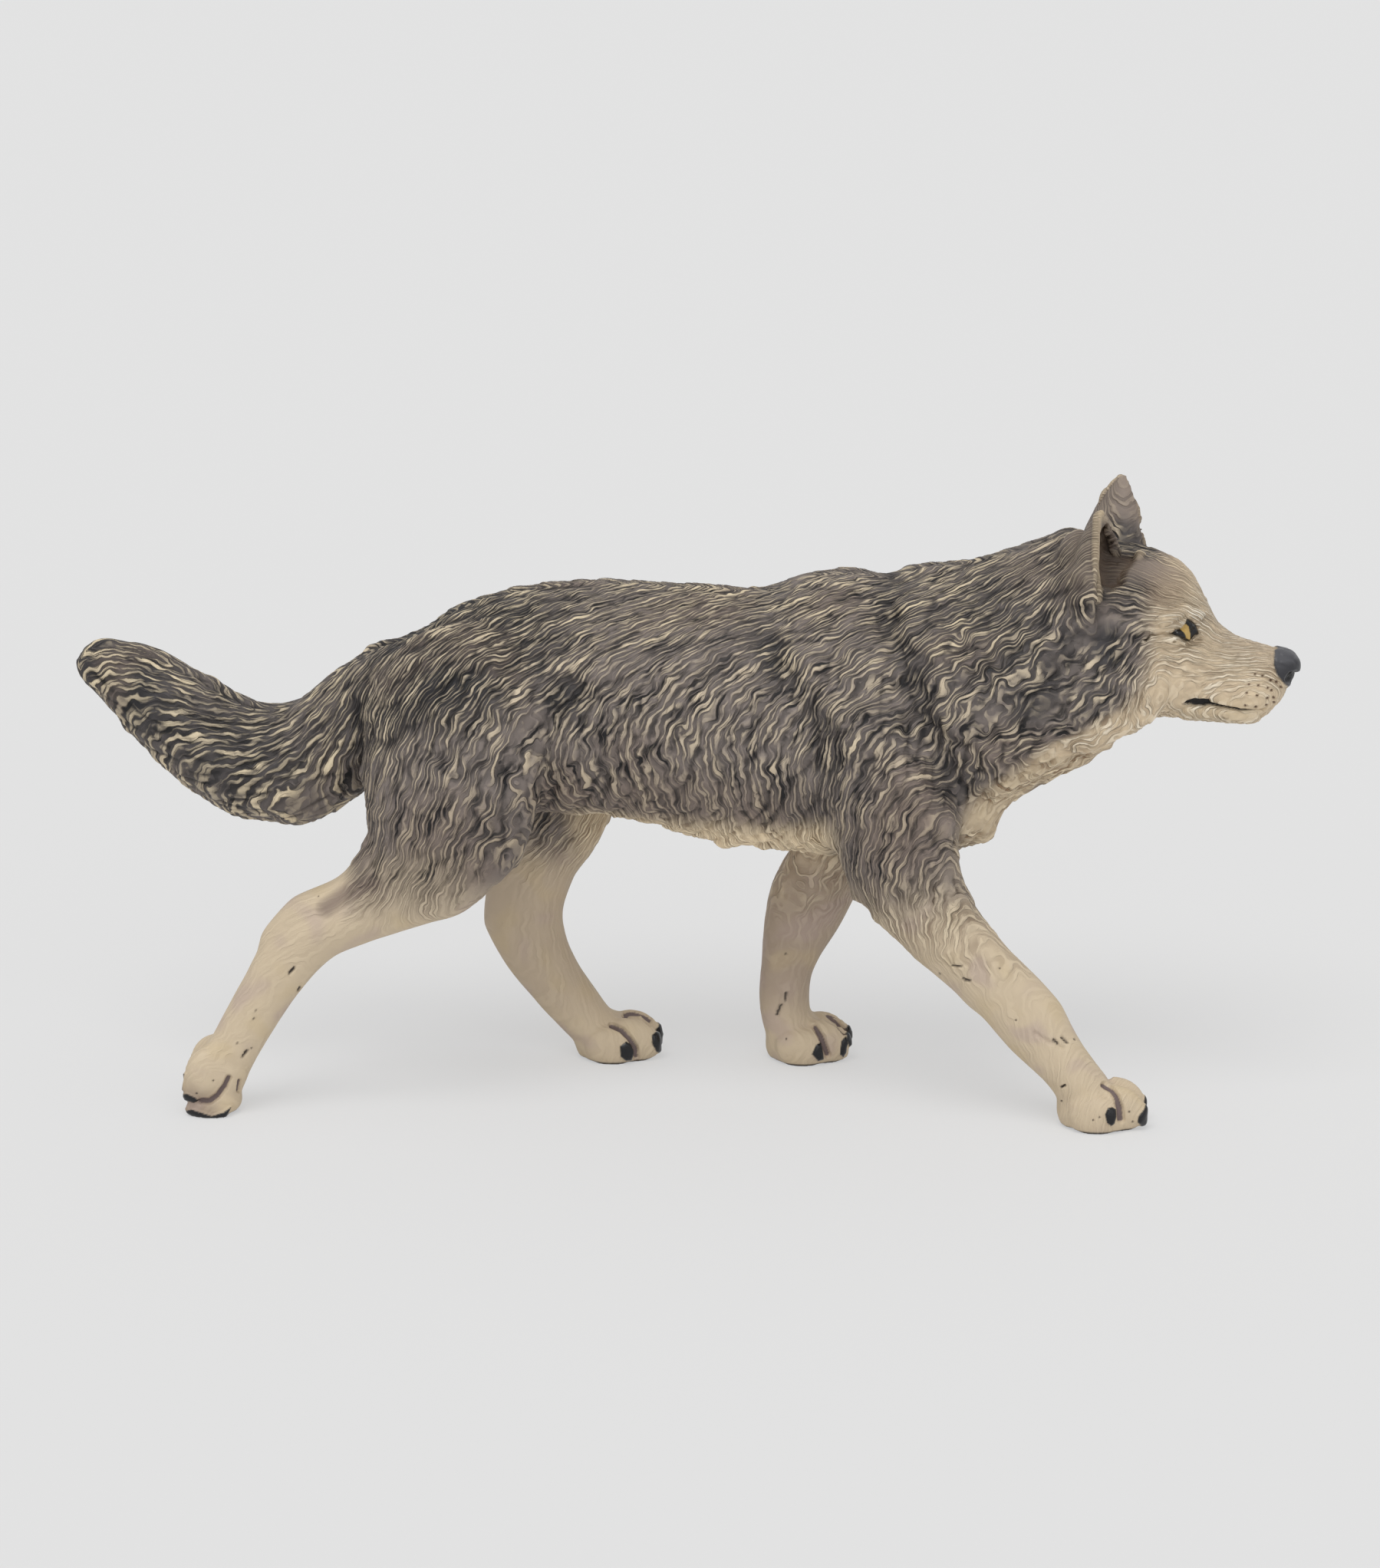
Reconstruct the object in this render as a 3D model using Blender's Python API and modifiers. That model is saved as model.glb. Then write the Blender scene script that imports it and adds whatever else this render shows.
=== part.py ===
"""Wolf figurine, moulded in one piece and caught in mid stride.

The head looks along +X and the near flank faces -Y. All sizes below are
millimetres; the finished body is turned into metres at the end.
"""

import math
import random

import bmesh
import bpy
import numpy as np
from mathutils import Matrix, Vector, kdtree

# Sizes.

MM = 0.001
LENGTH = 130.0            # nose to tail tip of the finished figurine
DRAWN_LENGTH = 131.72     # the same length as the sections below are drawn
MUZZLE_REACH = 10.3       # brow to the end of the muzzle
TAIL_REACH = 38.6         # root of the tail to its tip
NOSE_PAD = 1.9            # half the length of the nose leather
NOSTRIL = 0.8             # half the height of a nostril
BODY_HALF_WIDTH = 11.2    # half the girth of the trunk, side to side
HEAD_YAW = math.radians(-5.0)
HEAD_PIVOT = Vector((42.0, 0.0, 52.0))
NEAR_HIND_Y = -10.4       # middle of each paw, side to side
NEAR_FORE_Y = -9.7
FAR_HIND_Y = 9.6
FAR_FORE_Y = 10.2
EAR_TIP_HEIGHT = 67.3
PAW_HALF_WIDTH = 3.4
CLAW_LENGTH = 1.1
LOCK_LENGTH = 8.0         # one clump of fur
LOCK_WIDTH = 3.3
LOCK_HEIGHT = 0.95
SOLE_SINK = 0.7           # rounded underside of a paw that is cut away flat
SKIN_STEP = 0.42          # spacing of the working skin
TRIANGLES = 11400         # facets of the finished body

NAME = "wolf_figure"


# Shaping helpers.

def oval(theta, power, pinch=0.0):
    """Point on a rounded outline; pinch narrows its underside."""
    c = math.cos(theta)
    s = math.sin(theta)
    across = math.copysign(abs(c) ** (2.0 / power), c)
    upward = math.copysign(abs(s) ** (2.0 / power), s)
    return across * (1.0 + pinch * upward), upward


def skin(rings):
    """Closed surface through outlines that share one count of points."""
    count = len(rings[0])
    verts = [tuple(point) for ring in rings for point in ring]
    faces = []
    for row in range(len(rings) - 1):
        for i in range(count):
            j = (i + 1) % count
            low = row * count
            high = low + count
            faces.append((low + i, low + j, high + j, high + i))
    last = (len(rings) - 1) * count
    faces.append(tuple(reversed(range(count))))
    faces.append(tuple(last + i for i in range(count)))
    return verts, faces


def upright(stations, power=2.15, pinch=0.0, centre_y=0.0, segments=36):
    """Skin through upright outlines: x, top, bottom, half width."""
    rings = []
    for x, top, bottom, half in stations:
        middle = 0.5 * (top + bottom)
        tall = 0.5 * (top - bottom)
        ring = []
        for i in range(segments):
            across, upward = oval(2 * math.pi * i / segments, power, pinch)
            ring.append(Vector((x, centre_y + half * across, middle + tall * upward)))
        rings.append(ring)
    return skin(rings)


def limb(stations, power=2.1, segments=24):
    """Skin along a path: x, y, z, half depth fore and aft, half width."""
    centres = [Vector(row[:3]) for row in stations]
    rings = []
    for k, row in enumerate(stations):
        ahead = centres[min(k + 1, len(centres) - 1)]
        behind = centres[max(k - 1, 0)]
        run = (ahead - behind).normalized()
        side = Vector((0.0, 1.0, 0.0))
        fore = side.cross(run).normalized()
        side = run.cross(fore).normalized()
        ring = []
        for i in range(segments):
            across, upward = oval(2 * math.pi * i / segments, power)
            ring.append(centres[k] + side * (row[4] * across) + fore * (row[3] * upward))
        rings.append(ring)
    return skin(rings)


def ball(centre, radii, tilt=0.0, turn=0.0, segments=20, rows=12):
    """Ellipsoid; tilt lifts its front end, turn swings it about the upright."""
    verts = [(0.0, 0.0, 1.0)]
    for r in range(1, rows):
        polar = math.pi * r / rows
        for i in range(segments):
            around = 2 * math.pi * i / segments
            verts.append((
                math.sin(polar) * math.cos(around),
                math.sin(polar) * math.sin(around),
                math.cos(polar),
            ))
    verts.append((0.0, 0.0, -1.0))
    faces = []
    for i in range(segments):
        faces.append((0, 1 + i, 1 + (i + 1) % segments))
    for r in range(rows - 2):
        low = 1 + r * segments
        for i in range(segments):
            j = (i + 1) % segments
            faces.append((low + i, low + segments + i, low + segments + j, low + j))
    end = len(verts) - 1
    low = end - segments
    for i in range(segments):
        faces.append((low + i, end, low + (i + 1) % segments))
    spin = Matrix.Rotation(turn, 3, "Z") @ Matrix.Rotation(-tilt, 3, "Y")
    placed = []
    for x, y, z in verts:
        local = Vector((x * radii[0], y * radii[1], z * radii[2]))
        placed.append(tuple(spin @ local + Vector(centre)))
    return placed, faces


def tuft(root, tip, radius, droop=0.0):
    """Short pointed lock of fur standing out of the outline."""
    root = Vector(root)
    tip = Vector(tip)
    rings = []
    run = (tip - root).normalized()
    side = run.orthogonal().normalized()
    lift = run.cross(side)
    for k in range(6):
        share = k / 5.0
        middle = root.lerp(tip, share) + Vector((0, 0, -droop * share * (1 - share)))
        girth = radius * (1.0 - share) ** 0.7 + 0.12
        ring = []
        for i in range(10):
            angle = 2 * math.pi * i / 10
            ring.append(middle + side * (girth * math.cos(angle)) + lift * (girth * math.sin(angle)))
        rings.append(ring)
    return skin(rings)


def ear(base, tip, open_way, half_width, depth, wall):
    """Pricked ear: a shell open on the side it listens to."""
    base = Vector(base)
    tip = Vector(tip)
    rise = (tip - base).normalized()
    front = Vector(open_way)
    front = (front - rise * front.dot(rise)).normalized()
    side = rise.cross(front)
    rings = []
    for k in range(9):
        share = k / 8.0
        middle = base.lerp(tip, share)
        reach = half_width * (1.0 - share ** 1.6) ** 0.75 + 0.35
        hollow = depth * (1.0 - share) ** 0.8
        outer = []
        inner = []
        for i in range(13):
            angle = math.radians(-100 + 200 * i / 12)
            out = side * (reach * math.sin(angle)) - front * (reach * 0.85 * math.cos(angle))
            outer.append(middle + out)
            thin = max(0.25, 1.0 - wall / reach)
            inn = side * (reach * thin * math.sin(angle)) - front * (
                (reach * 0.85 * thin) * math.cos(angle) * (hollow / depth)
            )
            inner.append(middle + inn)
        rings.append(outer + list(reversed(inner)))
    return skin(rings)


def turned(piece, pivot=HEAD_PIVOT, angle=HEAD_YAW):
    """Piece swung about an upright line, as the head is to the near side."""
    verts, faces = piece
    spin = Matrix.Rotation(angle, 3, "Z")
    swung = [tuple(spin @ (Vector(v) - pivot) + pivot) for v in verts]
    return swung, faces


def swung_point(point):
    """Same swing for a single place on the head."""
    spin = Matrix.Rotation(HEAD_YAW, 3, "Z")
    return spin @ (Vector(point) - HEAD_PIVOT) + HEAD_PIVOT


# Masses of the body.

def trunk_and_neck():
    """Rump, loin, ribs, withers, neck and nape along the spine."""
    w = BODY_HALF_WIDTH
    body = upright([
        (-34.0, 45.6, 38.0, 0.30 * w),
        (-32.5, 48.6, 34.5, 0.62 * w),
        (-30.0, 49.6, 32.5, 0.82 * w),
        (-27.0, 51.0, 31.5, 0.92 * w),
        (-23.5, 53.6, 31.6, 0.97 * w),
        (-19.0, 55.1, 31.9, 0.95 * w),
        (-14.0, 55.9, 32.3, 0.93 * w),
        (-9.0, 56.4, 32.6, 0.90 * w),
        (-4.0, 56.3, 31.8, 0.91 * w),
        (1.0, 56.0, 30.3, 0.95 * w),
        (6.0, 55.4, 29.3, 0.99 * w),
        (9.5, 55.3, 29.3, 1.01 * w),
        (13.0, 57.2, 28.3, 1.03 * w),
        (17.0, 58.1, 28.0, 1.03 * w),
        (21.0, 57.3, 28.2, 1.02 * w),
        (25.0, 58.0, 28.3, 0.98 * w),
        (29.0, 58.3, 28.5, 0.92 * w),
        (32.0, 58.9, 30.6, 0.86 * w),
        (35.0, 60.0, 34.6, 0.84 * w),
        (38.0, 61.5, 36.6, 0.80 * w),
        (41.0, 63.4, 37.8, 0.75 * w),
        (44.0, 62.5, 39.6, 0.66 * w),
        (46.5, 59.5, 41.6, 0.52 * w),
    ], power=2.1, pinch=0.06)
    ruff = upright([
        (21.5, 54.0, 46.0, 0.70 * w),
        (23.5, 57.8, 42.0, 0.98 * w),
        (27.0, 58.5, 38.0, 1.05 * w),
        (31.0, 59.0, 35.5, 1.02 * w),
        (35.0, 60.2, 35.2, 0.97 * w),
        (39.0, 61.8, 37.0, 0.91 * w),
        (42.5, 62.0, 39.8, 0.84 * w),
        (45.5, 59.8, 43.0, 0.62 * w),
    ], power=2.0, pinch=0.02)
    near = -1.0
    far = 1.0
    return [
        body,
        ruff,
        ball((20.0, near * 0.68 * w, 44.5), (7.6, 4.6, 10.0), tilt=math.radians(-10)),
        ball((23.0, near * 0.76 * w, 35.5), (6.8, 4.6, 9.0), tilt=math.radians(8)),
        ball((18.5, far * 0.68 * w, 44.5), (7.6, 4.6, 10.0), tilt=math.radians(-10)),
        ball((17.0, far * 0.76 * w, 34.0), (6.2, 4.4, 10.0), tilt=math.radians(-8)),
        ball((-22.5, near * 0.56 * w, 43.0), (10.5, 6.2, 10.5), tilt=math.radians(6)),
        ball((-19.5, far * 0.56 * w, 42.0), (10.5, 6.2, 10.5), tilt=math.radians(-8)),
    ]


def muzzle_x(x):
    """Place along the muzzle, drawn out in front of the brow."""
    return x if x < 54.0 else 54.0 + (x - 54.0) * MUZZLE_REACH / 10.3


def tail_x(x):
    """Place along the tail, drawn out behind its root."""
    return -26.5 + (x + 26.5) * TAIL_REACH / 38.6


def head():
    """Skull, muzzle, cheeks, brows, nose and both ears, swung as one."""
    profile = [
        (40.0, 59.5, 44.0, 5.8),
        (43.0, 61.6, 43.6, 7.2),
        (46.5, 61.3, 43.9, 7.5),
        (49.0, 61.3, 44.0, 7.1),
        (51.0, 61.1, 43.7, 6.3),
        (52.6, 60.5, 43.6, 5.5),
        (54.2, 59.0, 43.5, 4.7),
        (55.6, 56.3, 43.5, 4.1),
        (57.0, 53.6, 43.4, 3.7),
        (59.0, 52.3, 43.4, 3.3),
        (61.0, 51.7, 43.9, 2.95),
        (62.8, 51.3, 44.7, 2.6),
        (64.4, 50.8, 45.9, 1.9),
    ]
    pieces = [
        upright([(muzzle_x(row[0]), *row[1:]) for row in profile], power=2.3, pinch=-0.04),
        ball((muzzle_x(59.6), 0.0, 44.5), (3.4, 2.3, 1.3)),
        ball((muzzle_x(64.0), 0.0, 49.3), (NOSE_PAD, 1.1 * NOSE_PAD, 0.95 * NOSE_PAD), tilt=-0.21),
    ]
    for side in (-1.0, 1.0):
        pieces.append(ball((47.5, side * 5.0, 48.6), (5.2, 3.6, 5.4), turn=side * -0.25))
        pieces.append(ball((43.5, side * 6.2, 48.0), (4.4, 3.8, 6.6)))
        pieces.append(ball((52.6, side * 3.9, 55.4), (2.7, 1.7, 1.5), tilt=-0.35, turn=side * -0.5))
        pieces.append(ball((53.1, side * 3.95, 52.9), (1.25, 1.15, 1.05)))
        pieces.append(ball((muzzle_x(60.3), side * 2.0, 47.0), (3.1, 1.6, 2.1)))
    near_tip = (44.9, -7.05, EAR_TIP_HEIGHT - 0.2)
    far_tip = (46.5, 6.8, EAR_TIP_HEIGHT + 0.9)
    pieces.append(ear((45.0, -4.3, 55.5), near_tip, (0.94, -0.34, 0.1), 4.5, 3.4, 0.9))
    pieces.append(ear((45.5, 4.9, 56.0), far_tip, (0.80, 0.60, 0.1), 4.7, 3.4, 0.9))
    return [turned(piece) for piece in pieces]


def legs():
    """Four legs down to the pasterns."""
    nh = NEAR_HIND_Y
    nf = NEAR_FORE_Y
    fh = FAR_HIND_Y
    ff = FAR_FORE_Y
    near_hind = limb([
        (-21.5, nh + 4.4, 45.0, 8.0, 4.6),
        (-24.0, nh + 2.6, 37.6, 9.2, 5.0),
        (-25.2, nh + 1.7, 31.4, 8.3, 4.8),
        (-27.5, nh + 1.3, 27.1, 6.3, 4.0),
        (-31.5, nh + 1.0, 24.9, 4.6, 3.4),
        (-35.3, nh + 0.7, 22.7, 3.9, 3.0),
        (-39.4, nh + 0.5, 21.1, 4.1, 2.8),
        (-42.0, nh + 0.4, 18.2, 3.9, 2.65),
        (-43.8, nh + 0.3, 14.8, 3.1, 2.5),
        (-46.1, nh + 0.2, 11.0, 3.0, 2.45),
        (-47.9, nh + 0.1, 7.8, 2.8, 2.5),
        (-49.3, nh, 4.8, 2.6, 2.6),
    ])
    near_fore = limb([
        (20.5, nf + 1.8, 42.0, 6.8, 4.0),
        (22.6, nf + 1.4, 34.5, 6.5, 4.4),
        (24.0, nf + 1.0, 28.8, 5.6, 4.2),
        (26.0, nf + 0.7, 24.4, 4.7, 3.7),
        (28.8, nf + 0.5, 20.7, 4.0, 3.3),
        (32.2, nf + 0.4, 17.2, 3.7, 3.1),
        (35.5, nf + 0.3, 14.2, 3.75, 3.0),
        (38.0, nf + 0.2, 11.4, 4.0, 2.9),
        (39.7, nf + 0.1, 9.0, 3.4, 2.8),
        (41.5, nf, 6.9, 2.9, 2.9),
        (43.0, nf, 4.9, 2.8, 2.95),
        (44.6, nf, 3.0, 2.6, 2.95),
        (45.8, nf, 1.6, 2.0, 2.6),
    ])
    far_hind = limb([
        (-18.0, fh - 3.6, 44.0, 8.4, 4.6),
        (-16.5, fh - 1.6, 35.6, 8.2, 4.8),
        (-14.9, fh - 0.4, 28.5, 6.3, 4.2),
        (-16.2, fh, 24.0, 4.9, 3.5),
        (-17.9, fh, 19.8, 4.5, 3.0),
        (-18.6, fh, 15.8, 4.6, 2.8),
        (-17.0, fh, 11.9, 3.9, 2.6),
        (-15.0, fh, 8.8, 3.35, 2.5),
        (-13.1, fh, 6.4, 3.1, 2.7),
        (-11.4, fh, 4.2, 2.8, 2.9),
        (-9.8, fh, 2.4, 2.3, 2.8),
    ])
    far_fore = limb([
        (17.5, ff - 2.0, 42.0, 6.6, 4.0),
        (17.4, ff - 1.4, 34.0, 6.0, 4.3),
        (17.3, ff - 0.8, 28.0, 4.4, 4.1),
        (15.7, ff - 0.4, 23.5, 4.1, 3.6),
        (13.7, ff, 19.3, 4.5, 3.2),
        (12.5, ff, 15.8, 4.3, 3.0),
        (11.5, ff, 13.0, 3.5, 2.8),
        (10.9, ff, 10.2, 2.95, 2.6),
        (10.65, ff, 7.4, 2.95, 2.6),
        (10.9, ff, 4.9, 2.8, 2.8),
        (11.6, ff, 2.6, 2.8, 2.9),
    ])
    return [near_hind, near_fore, far_hind, far_fore]


def paw(x, y, toe_out=0.0):
    """Paw flat on the ground: heel pad, four toes and their claws."""
    w = PAW_HALF_WIDTH
    low = -SOLE_SINK
    parts = [
        ball((-1.2, 0.0, 1.9 + 0.5 * low), (2.9, 0.86 * w, 2.6 + 0.3 * SOLE_SINK)),
        ball((0.6, 0.0, 2.6), (3.4, 0.72 * w, 2.5), tilt=-0.25),
    ]
    for side in (-1.0, 1.0):
        inner = side * 0.38 * w
        outer = side * 0.80 * w
        parts.append(ball((2.3, inner, 2.3 + 0.3 * low), (3.3, 0.42 * w, 2.8), tilt=-0.22))
        parts.append(ball((0.0, outer * 0.92, 1.9 + 0.3 * low), (2.9, 0.36 * w, 2.5), tilt=-0.18))
        parts.append(ball((5.0, inner, 1.1), (CLAW_LENGTH * 0.75, 0.62, CLAW_LENGTH)))
        parts.append(ball((2.45, outer * 1.0, 1.0), (CLAW_LENGTH * 0.75, 0.6, CLAW_LENGTH * 0.95)))
    placed = []
    spin = Matrix.Rotation(toe_out, 3, "Z")
    for verts, faces in parts:
        placed.append(([tuple(spin @ Vector(v) + Vector((x, y, 0.0))) for v in verts], faces))
    return placed


def pushing_paw(x, y):
    """Hind paw that has just pushed off: toes down, claws turned back."""
    w = PAW_HALF_WIDTH
    parts = [
        ball((0.9, 0.0, 4.6), (2.5, 0.80 * w, 3.4), tilt=-0.35),
        ball((-0.2, 0.0, 1.3), (2.9, 0.82 * w, 1.9)),
    ]
    for side in (-1.0, 1.0):
        parts.append(ball((-1.4, side * 0.55 * w, 4.6), (2.2, 0.42 * w, 3.8), tilt=-0.12))
        parts.append(ball((-0.6, side * 0.40 * w, 0.95), (2.6, 0.46 * w, 1.7), tilt=0.1))
        parts.append(ball((-3.35, side * 0.62 * w, 3.0), (0.5, 0.55, CLAW_LENGTH)))
        parts.append(ball((-3.2, side * 0.52 * w, 0.75), (0.75, 0.6, 0.6)))
    placed = []
    for verts, faces in parts:
        placed.append(([tuple(Vector(v) + Vector((x, y, 0.0))) for v in verts], faces))
    return placed


def tail():
    """Full brush that drops from the rump and sweeps up to its tip."""
    spine = [
        (-26.5, 0.0, 47.0, 3.2, 4.2),
        (-30.5, 0.2, 45.4, 4.4, 4.8),
        (-34.0, 0.5, 42.2, 5.3, 5.2),
        (-37.8, 0.8, 38.1, 5.6, 5.4),
        (-42.5, 1.0, 36.0, 5.8, 5.6),
        (-47.5, 1.1, 36.4, 5.4, 5.5),
        (-52.0, 1.1, 39.2, 4.9, 5.1),
        (-56.2, 1.0, 42.8, 4.1, 4.3),
        (-60.0, 0.9, 45.6, 3.15, 3.2),
        (-63.2, 0.8, 47.2, 2.1, 2.0),
        (-65.2, 0.8, 47.7, 0.8, 0.8),
    ]
    return limb([(tail_x(row[0]), *row[1:]) for row in spine], power=2.0)


def tufts():
    """Locks that break the outline: belly, elbows, chest, throat, hocks."""
    nf = NEAR_FORE_Y
    return [
        tuft((7.0, -4.0, 31.4), (3.8, -4.5, 29.3), 1.4),
        tuft((10.5, -3.0, 31.0), (7.8, -3.5, 28.2), 1.5),
        tuft((1.5, -2.0, 32.4), (-1.5, -2.4, 30.3), 1.4),
        tuft((11.0, 3.0, 31.0), (8.6, 3.2, 29.0), 1.3),
        tuft((21.0, nf + 1.0, 28.0), (18.4, nf + 0.8, 23.9), 1.9),
        tuft((23.6, nf + 1.0, 26.0), (20.4, nf + 0.7, 22.2), 1.8),
        tuft((25.6, nf + 0.8, 23.4), (23.0, nf + 0.6, 20.3), 1.7),
        tuft((27.4, nf + 0.6, 21.0), (24.9, nf + 0.5, 17.9), 1.5),
        tuft((32.2, nf + 0.5, 15.4), (30.5, nf + 0.4, 12.5), 1.2),
        tuft((31.5, -1.5, 33.0), (32.6, -1.6, 29.2), 2.1),
        tuft((32.4, 1.5, 36.0), (34.9, 1.5, 33.0), 2.1),
        tuft((29.6, 2.5, 31.0), (30.7, 2.6, 27.2), 2.1),
        tuft((38.5, -1.0, 38.6), (36.4, -1.2, 34.9), 1.8),
        tuft((42.5, -2.0, 40.9), (42.6, -2.4, 38.2), 1.6),
        tuft((44.5, -3.0, 42.9), (46.2, -3.6, 40.0), 1.6),
        tuft((45.6, 2.0, 45.0), (46.6, 1.8, 43.4), 1.1),
        tuft((-32.0, -6.0, 38.2), (-34.2, -6.4, 36.0), 1.4),
        tuft((tail_x(-58.0), 1.0, 41.0), (tail_x(-60.3), 1.0, 40.9), 1.2),
        tuft((tail_x(-54.0), 1.0, 38.2), (tail_x(-58.0), 1.0, 37.6), 1.6),
        tuft((tail_x(-50.0), 1.0, 35.4), (tail_x(-54.0), 1.0, 33.9), 1.5),
    ]


# Relief of the fur.

# Where the fur lies: x, z, heading in degrees (180 back, 270 down).
LAY = [
    (63, 49, 180), (58, 51, 175), (53, 58, 150), (50, 60, 165), (54, 47, 182),
    (50, 48, 190), (47, 52, 195), (46, 46, 215), (52, 43, 190), (46, 41, 225),
    (45, 60, 190), (39, 60, 200), (40, 52, 225), (34, 56, 225), (33, 48, 248),
    (28, 56, 215), (27, 47, 250), (34, 40, 250), (40, 40, 225), (30, 33, 255),
    (18, 57, 190), (18, 49, 240), (22, 42, 262), (20, 32, 268), (26, 28, 285),
    (8, 55, 190), (6, 48, 238), (8, 40, 252), (6, 31, 225), (0, 29, 200),
    (-8, 55, 195), (-8, 47, 238), (-8, 38, 255), (-20, 54, 205), (-20, 46, 240),
    (-20, 36, 262), (-29, 50, 220), (-28, 42, 255), (-31, 35, 268), (-25, 27, 240),
    (-16, 28, 250), (-33, 46, 228), (-38, 40, 215), (-43, 36, 190), (-49, 37, 165),
    (-55, 42, 150), (-62, 46, 160), (-40, 21, 210), (-46, 12, 240), (33, 18, 310),
    (12, 18, 268), (-17, 14, 290),
]


def heading(points):
    """Unit direction of the fur at each point, blended between the marks."""
    marks = np.array([(x, z) for x, z, angle in LAY], dtype=float)
    angles = np.radians([angle for x, z, angle in LAY])
    apart = points[:, None, [0, 2]] - marks[None, :, :]
    weight = 1.0 / ((apart ** 2).sum(axis=2) + 1.0) ** 1.6
    flow = np.zeros_like(points)
    flow[:, 0] = (weight * np.cos(angles)).sum(axis=1)
    flow[:, 2] = (weight * np.sin(angles)).sum(axis=1)
    return flow / np.linalg.norm(flow, axis=1)[:, None]


def ease(value, low, high):
    """Zero below low, one above high, smooth between."""
    share = np.clip((value - low) / (high - low), 0.0, 1.0)
    return share * share * (3.0 - 2.0 * share)


def coat_depth(points):
    """How deep the fur is carved: full on body and tail, bare on paws."""
    x = points[:, 0]
    z = points[:, 2]
    body = ease(z, 22.0, 31.0)
    hind = 1.0 - ease(-x - 33.0 + 0.0 * z, 0.0, 4.0) * (1.0 - ease(z, 27.0, 29.5))
    face = 1.0 - 0.85 * ease(x, 46.0, 52.0)
    ears = 1.0 - 0.9 * ease(z, 60.5, 63.0) * ease(x, 38.0, 41.0)
    legs_low = ease(z, 12.0, 26.0) * 0.45
    return np.maximum(body, legs_low) * hind * face * ears


def lay_locks(points, normals):
    """Overlapping clumps: each rises to its tip, then drops to the next."""
    rng = random.Random(11)
    flow = heading(points)
    flow -= normals * (flow * normals).sum(axis=1)[:, None]
    flow /= np.maximum(np.linalg.norm(flow, axis=1), 1e-6)[:, None]
    depth = coat_depth(points)
    tree = kdtree.KDTree(len(points))
    for i, p in enumerate(points):
        tree.insert(p, i)
    tree.balance()
    order = list(range(len(points)))
    rng.shuffle(order)
    taken = kdtree_free_roots(points, order, depth)
    raised = np.zeros(len(points))
    for root in taken:
        along = flow[root]
        up = normals[root]
        across = np.cross(up, along)
        scale = 0.8 + 0.5 * rng.random()
        length = LOCK_LENGTH * scale
        width = LOCK_WIDTH * (0.75 + 0.5 * rng.random())
        bend = (rng.random() - 0.5) * 0.9
        near = tree.find_range(points[root] + along * length * 0.5, length * 0.62)
        index = np.array([n[1] for n in near], dtype=int)
        gap = points[index] - points[root]
        s = gap @ along / length
        t = (gap @ across) / (0.5 * width)
        slim = np.clip(1.0 - 0.65 * np.clip(s, 0, 1) ** 1.5, 0.2, 1.0)
        t = (t - bend * s * s) / slim
        facing = np.clip((normals[index] @ up - 0.2) / 0.5, 0.0, 1.0)
        body = np.clip(1.0 - t * t, 0.0, 1.0) ** 0.7
        climb = np.clip(s, 0.0, 1.0) ** 0.8 * (1.0 - ease(s, 0.82, 1.0))
        lift = LOCK_HEIGHT * scale * body * climb * facing * (s > 0.0)
        raised[index] = np.maximum(raised[index], lift)
    return raised * depth


def kdtree_free_roots(points, order, depth):
    """Roots spread evenly: none closer than about half a lock to another."""
    cell = LOCK_WIDTH * 0.62
    seen = {}
    roots = []
    for i in order:
        if depth[i] < 0.12:
            continue
        key = tuple(int(c) for c in np.floor(points[i] / cell))
        clash = False
        for dx in (-1, 0, 1):
            for dy in (-1, 0, 1):
                for dz in (-1, 0, 1):
                    for other in seen.get((key[0] + dx, key[1] + dy, key[2] + dz), ()):
                        if ((points[i] - points[other]) ** 2).sum() < cell * cell:
                            clash = True
        if not clash:
            seen.setdefault(key, []).append(i)
            roots.append(i)
    return roots


# Edges of the thick tufts: height, spread, and a line with the tuft on its
# left, as x and height read from beside and a little above each flank.
SIGHT = Vector((27.2, 504.0, 184.2))
FOLDS = [
    (1.0, 2.3, [(23.1, 57.0), (22.5, 55.0), (23.0, 53.0), (24.0, 50.4), (26.3, 48.5), (27.0, 46.0),
                (27.8, 42.8), (29.4, 40.0), (31.3, 38.7)]),
    (0.9, 2.1, [(7.4, 51.6), (10.2, 50.5), (11.5, 49.0), (13.4, 45.5), (15.6, 43.2), (17.9, 39.9),
                (17.9, 37.0), (16.7, 32.9)]),
    (0.7, 1.8, [(33.6, 43.5), (36.9, 45.8), (39.3, 48.7), (41.3, 51.8), (42.0, 56.3)]),
    (0.6, 1.7, [(-13.6, 41.5), (-14.5, 41.8), (-15.4, 43.2), (-18.3, 43.7)]),
]
HIP = [(-15.7, 41.5), (-15.2, 36.8), (-14.5, 33.8), (-15.2, 30.5), (-16.3, 27.8)]
HOCK_TENDON = [
    (-46.4, 14.7), (-45.0, 16.3), (-43.9, 17.3), (-41.3, 18.7), (-39.2, 19.6), (-36.8, 21.7), (-33.9, 22.8),
]
FAR_HOCK = [(-15.3, 24.3), (-13.2, 19.2), (-12.7, 14.2)]


def line_gap(seen, places):
    """Distance of each point, as seen, from a broken line, and its left side."""
    best = np.full(len(seen), 1e9)
    left = np.zeros(len(seen))
    for a, b in zip(places[:-1], places[1:]):
        a = np.array(a)
        run = np.array(b) - a
        share = np.clip(((seen - a) @ run) / (run @ run), 0.0, 1.0)
        gap = seen - a - share[:, None] * run
        apart = np.hypot(gap[:, 0], gap[:, 1])
        left = np.where(apart < best, run[0] * gap[:, 1] - run[1] * gap[:, 0], left)
        best = np.minimum(best, apart)
    return best, left


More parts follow.
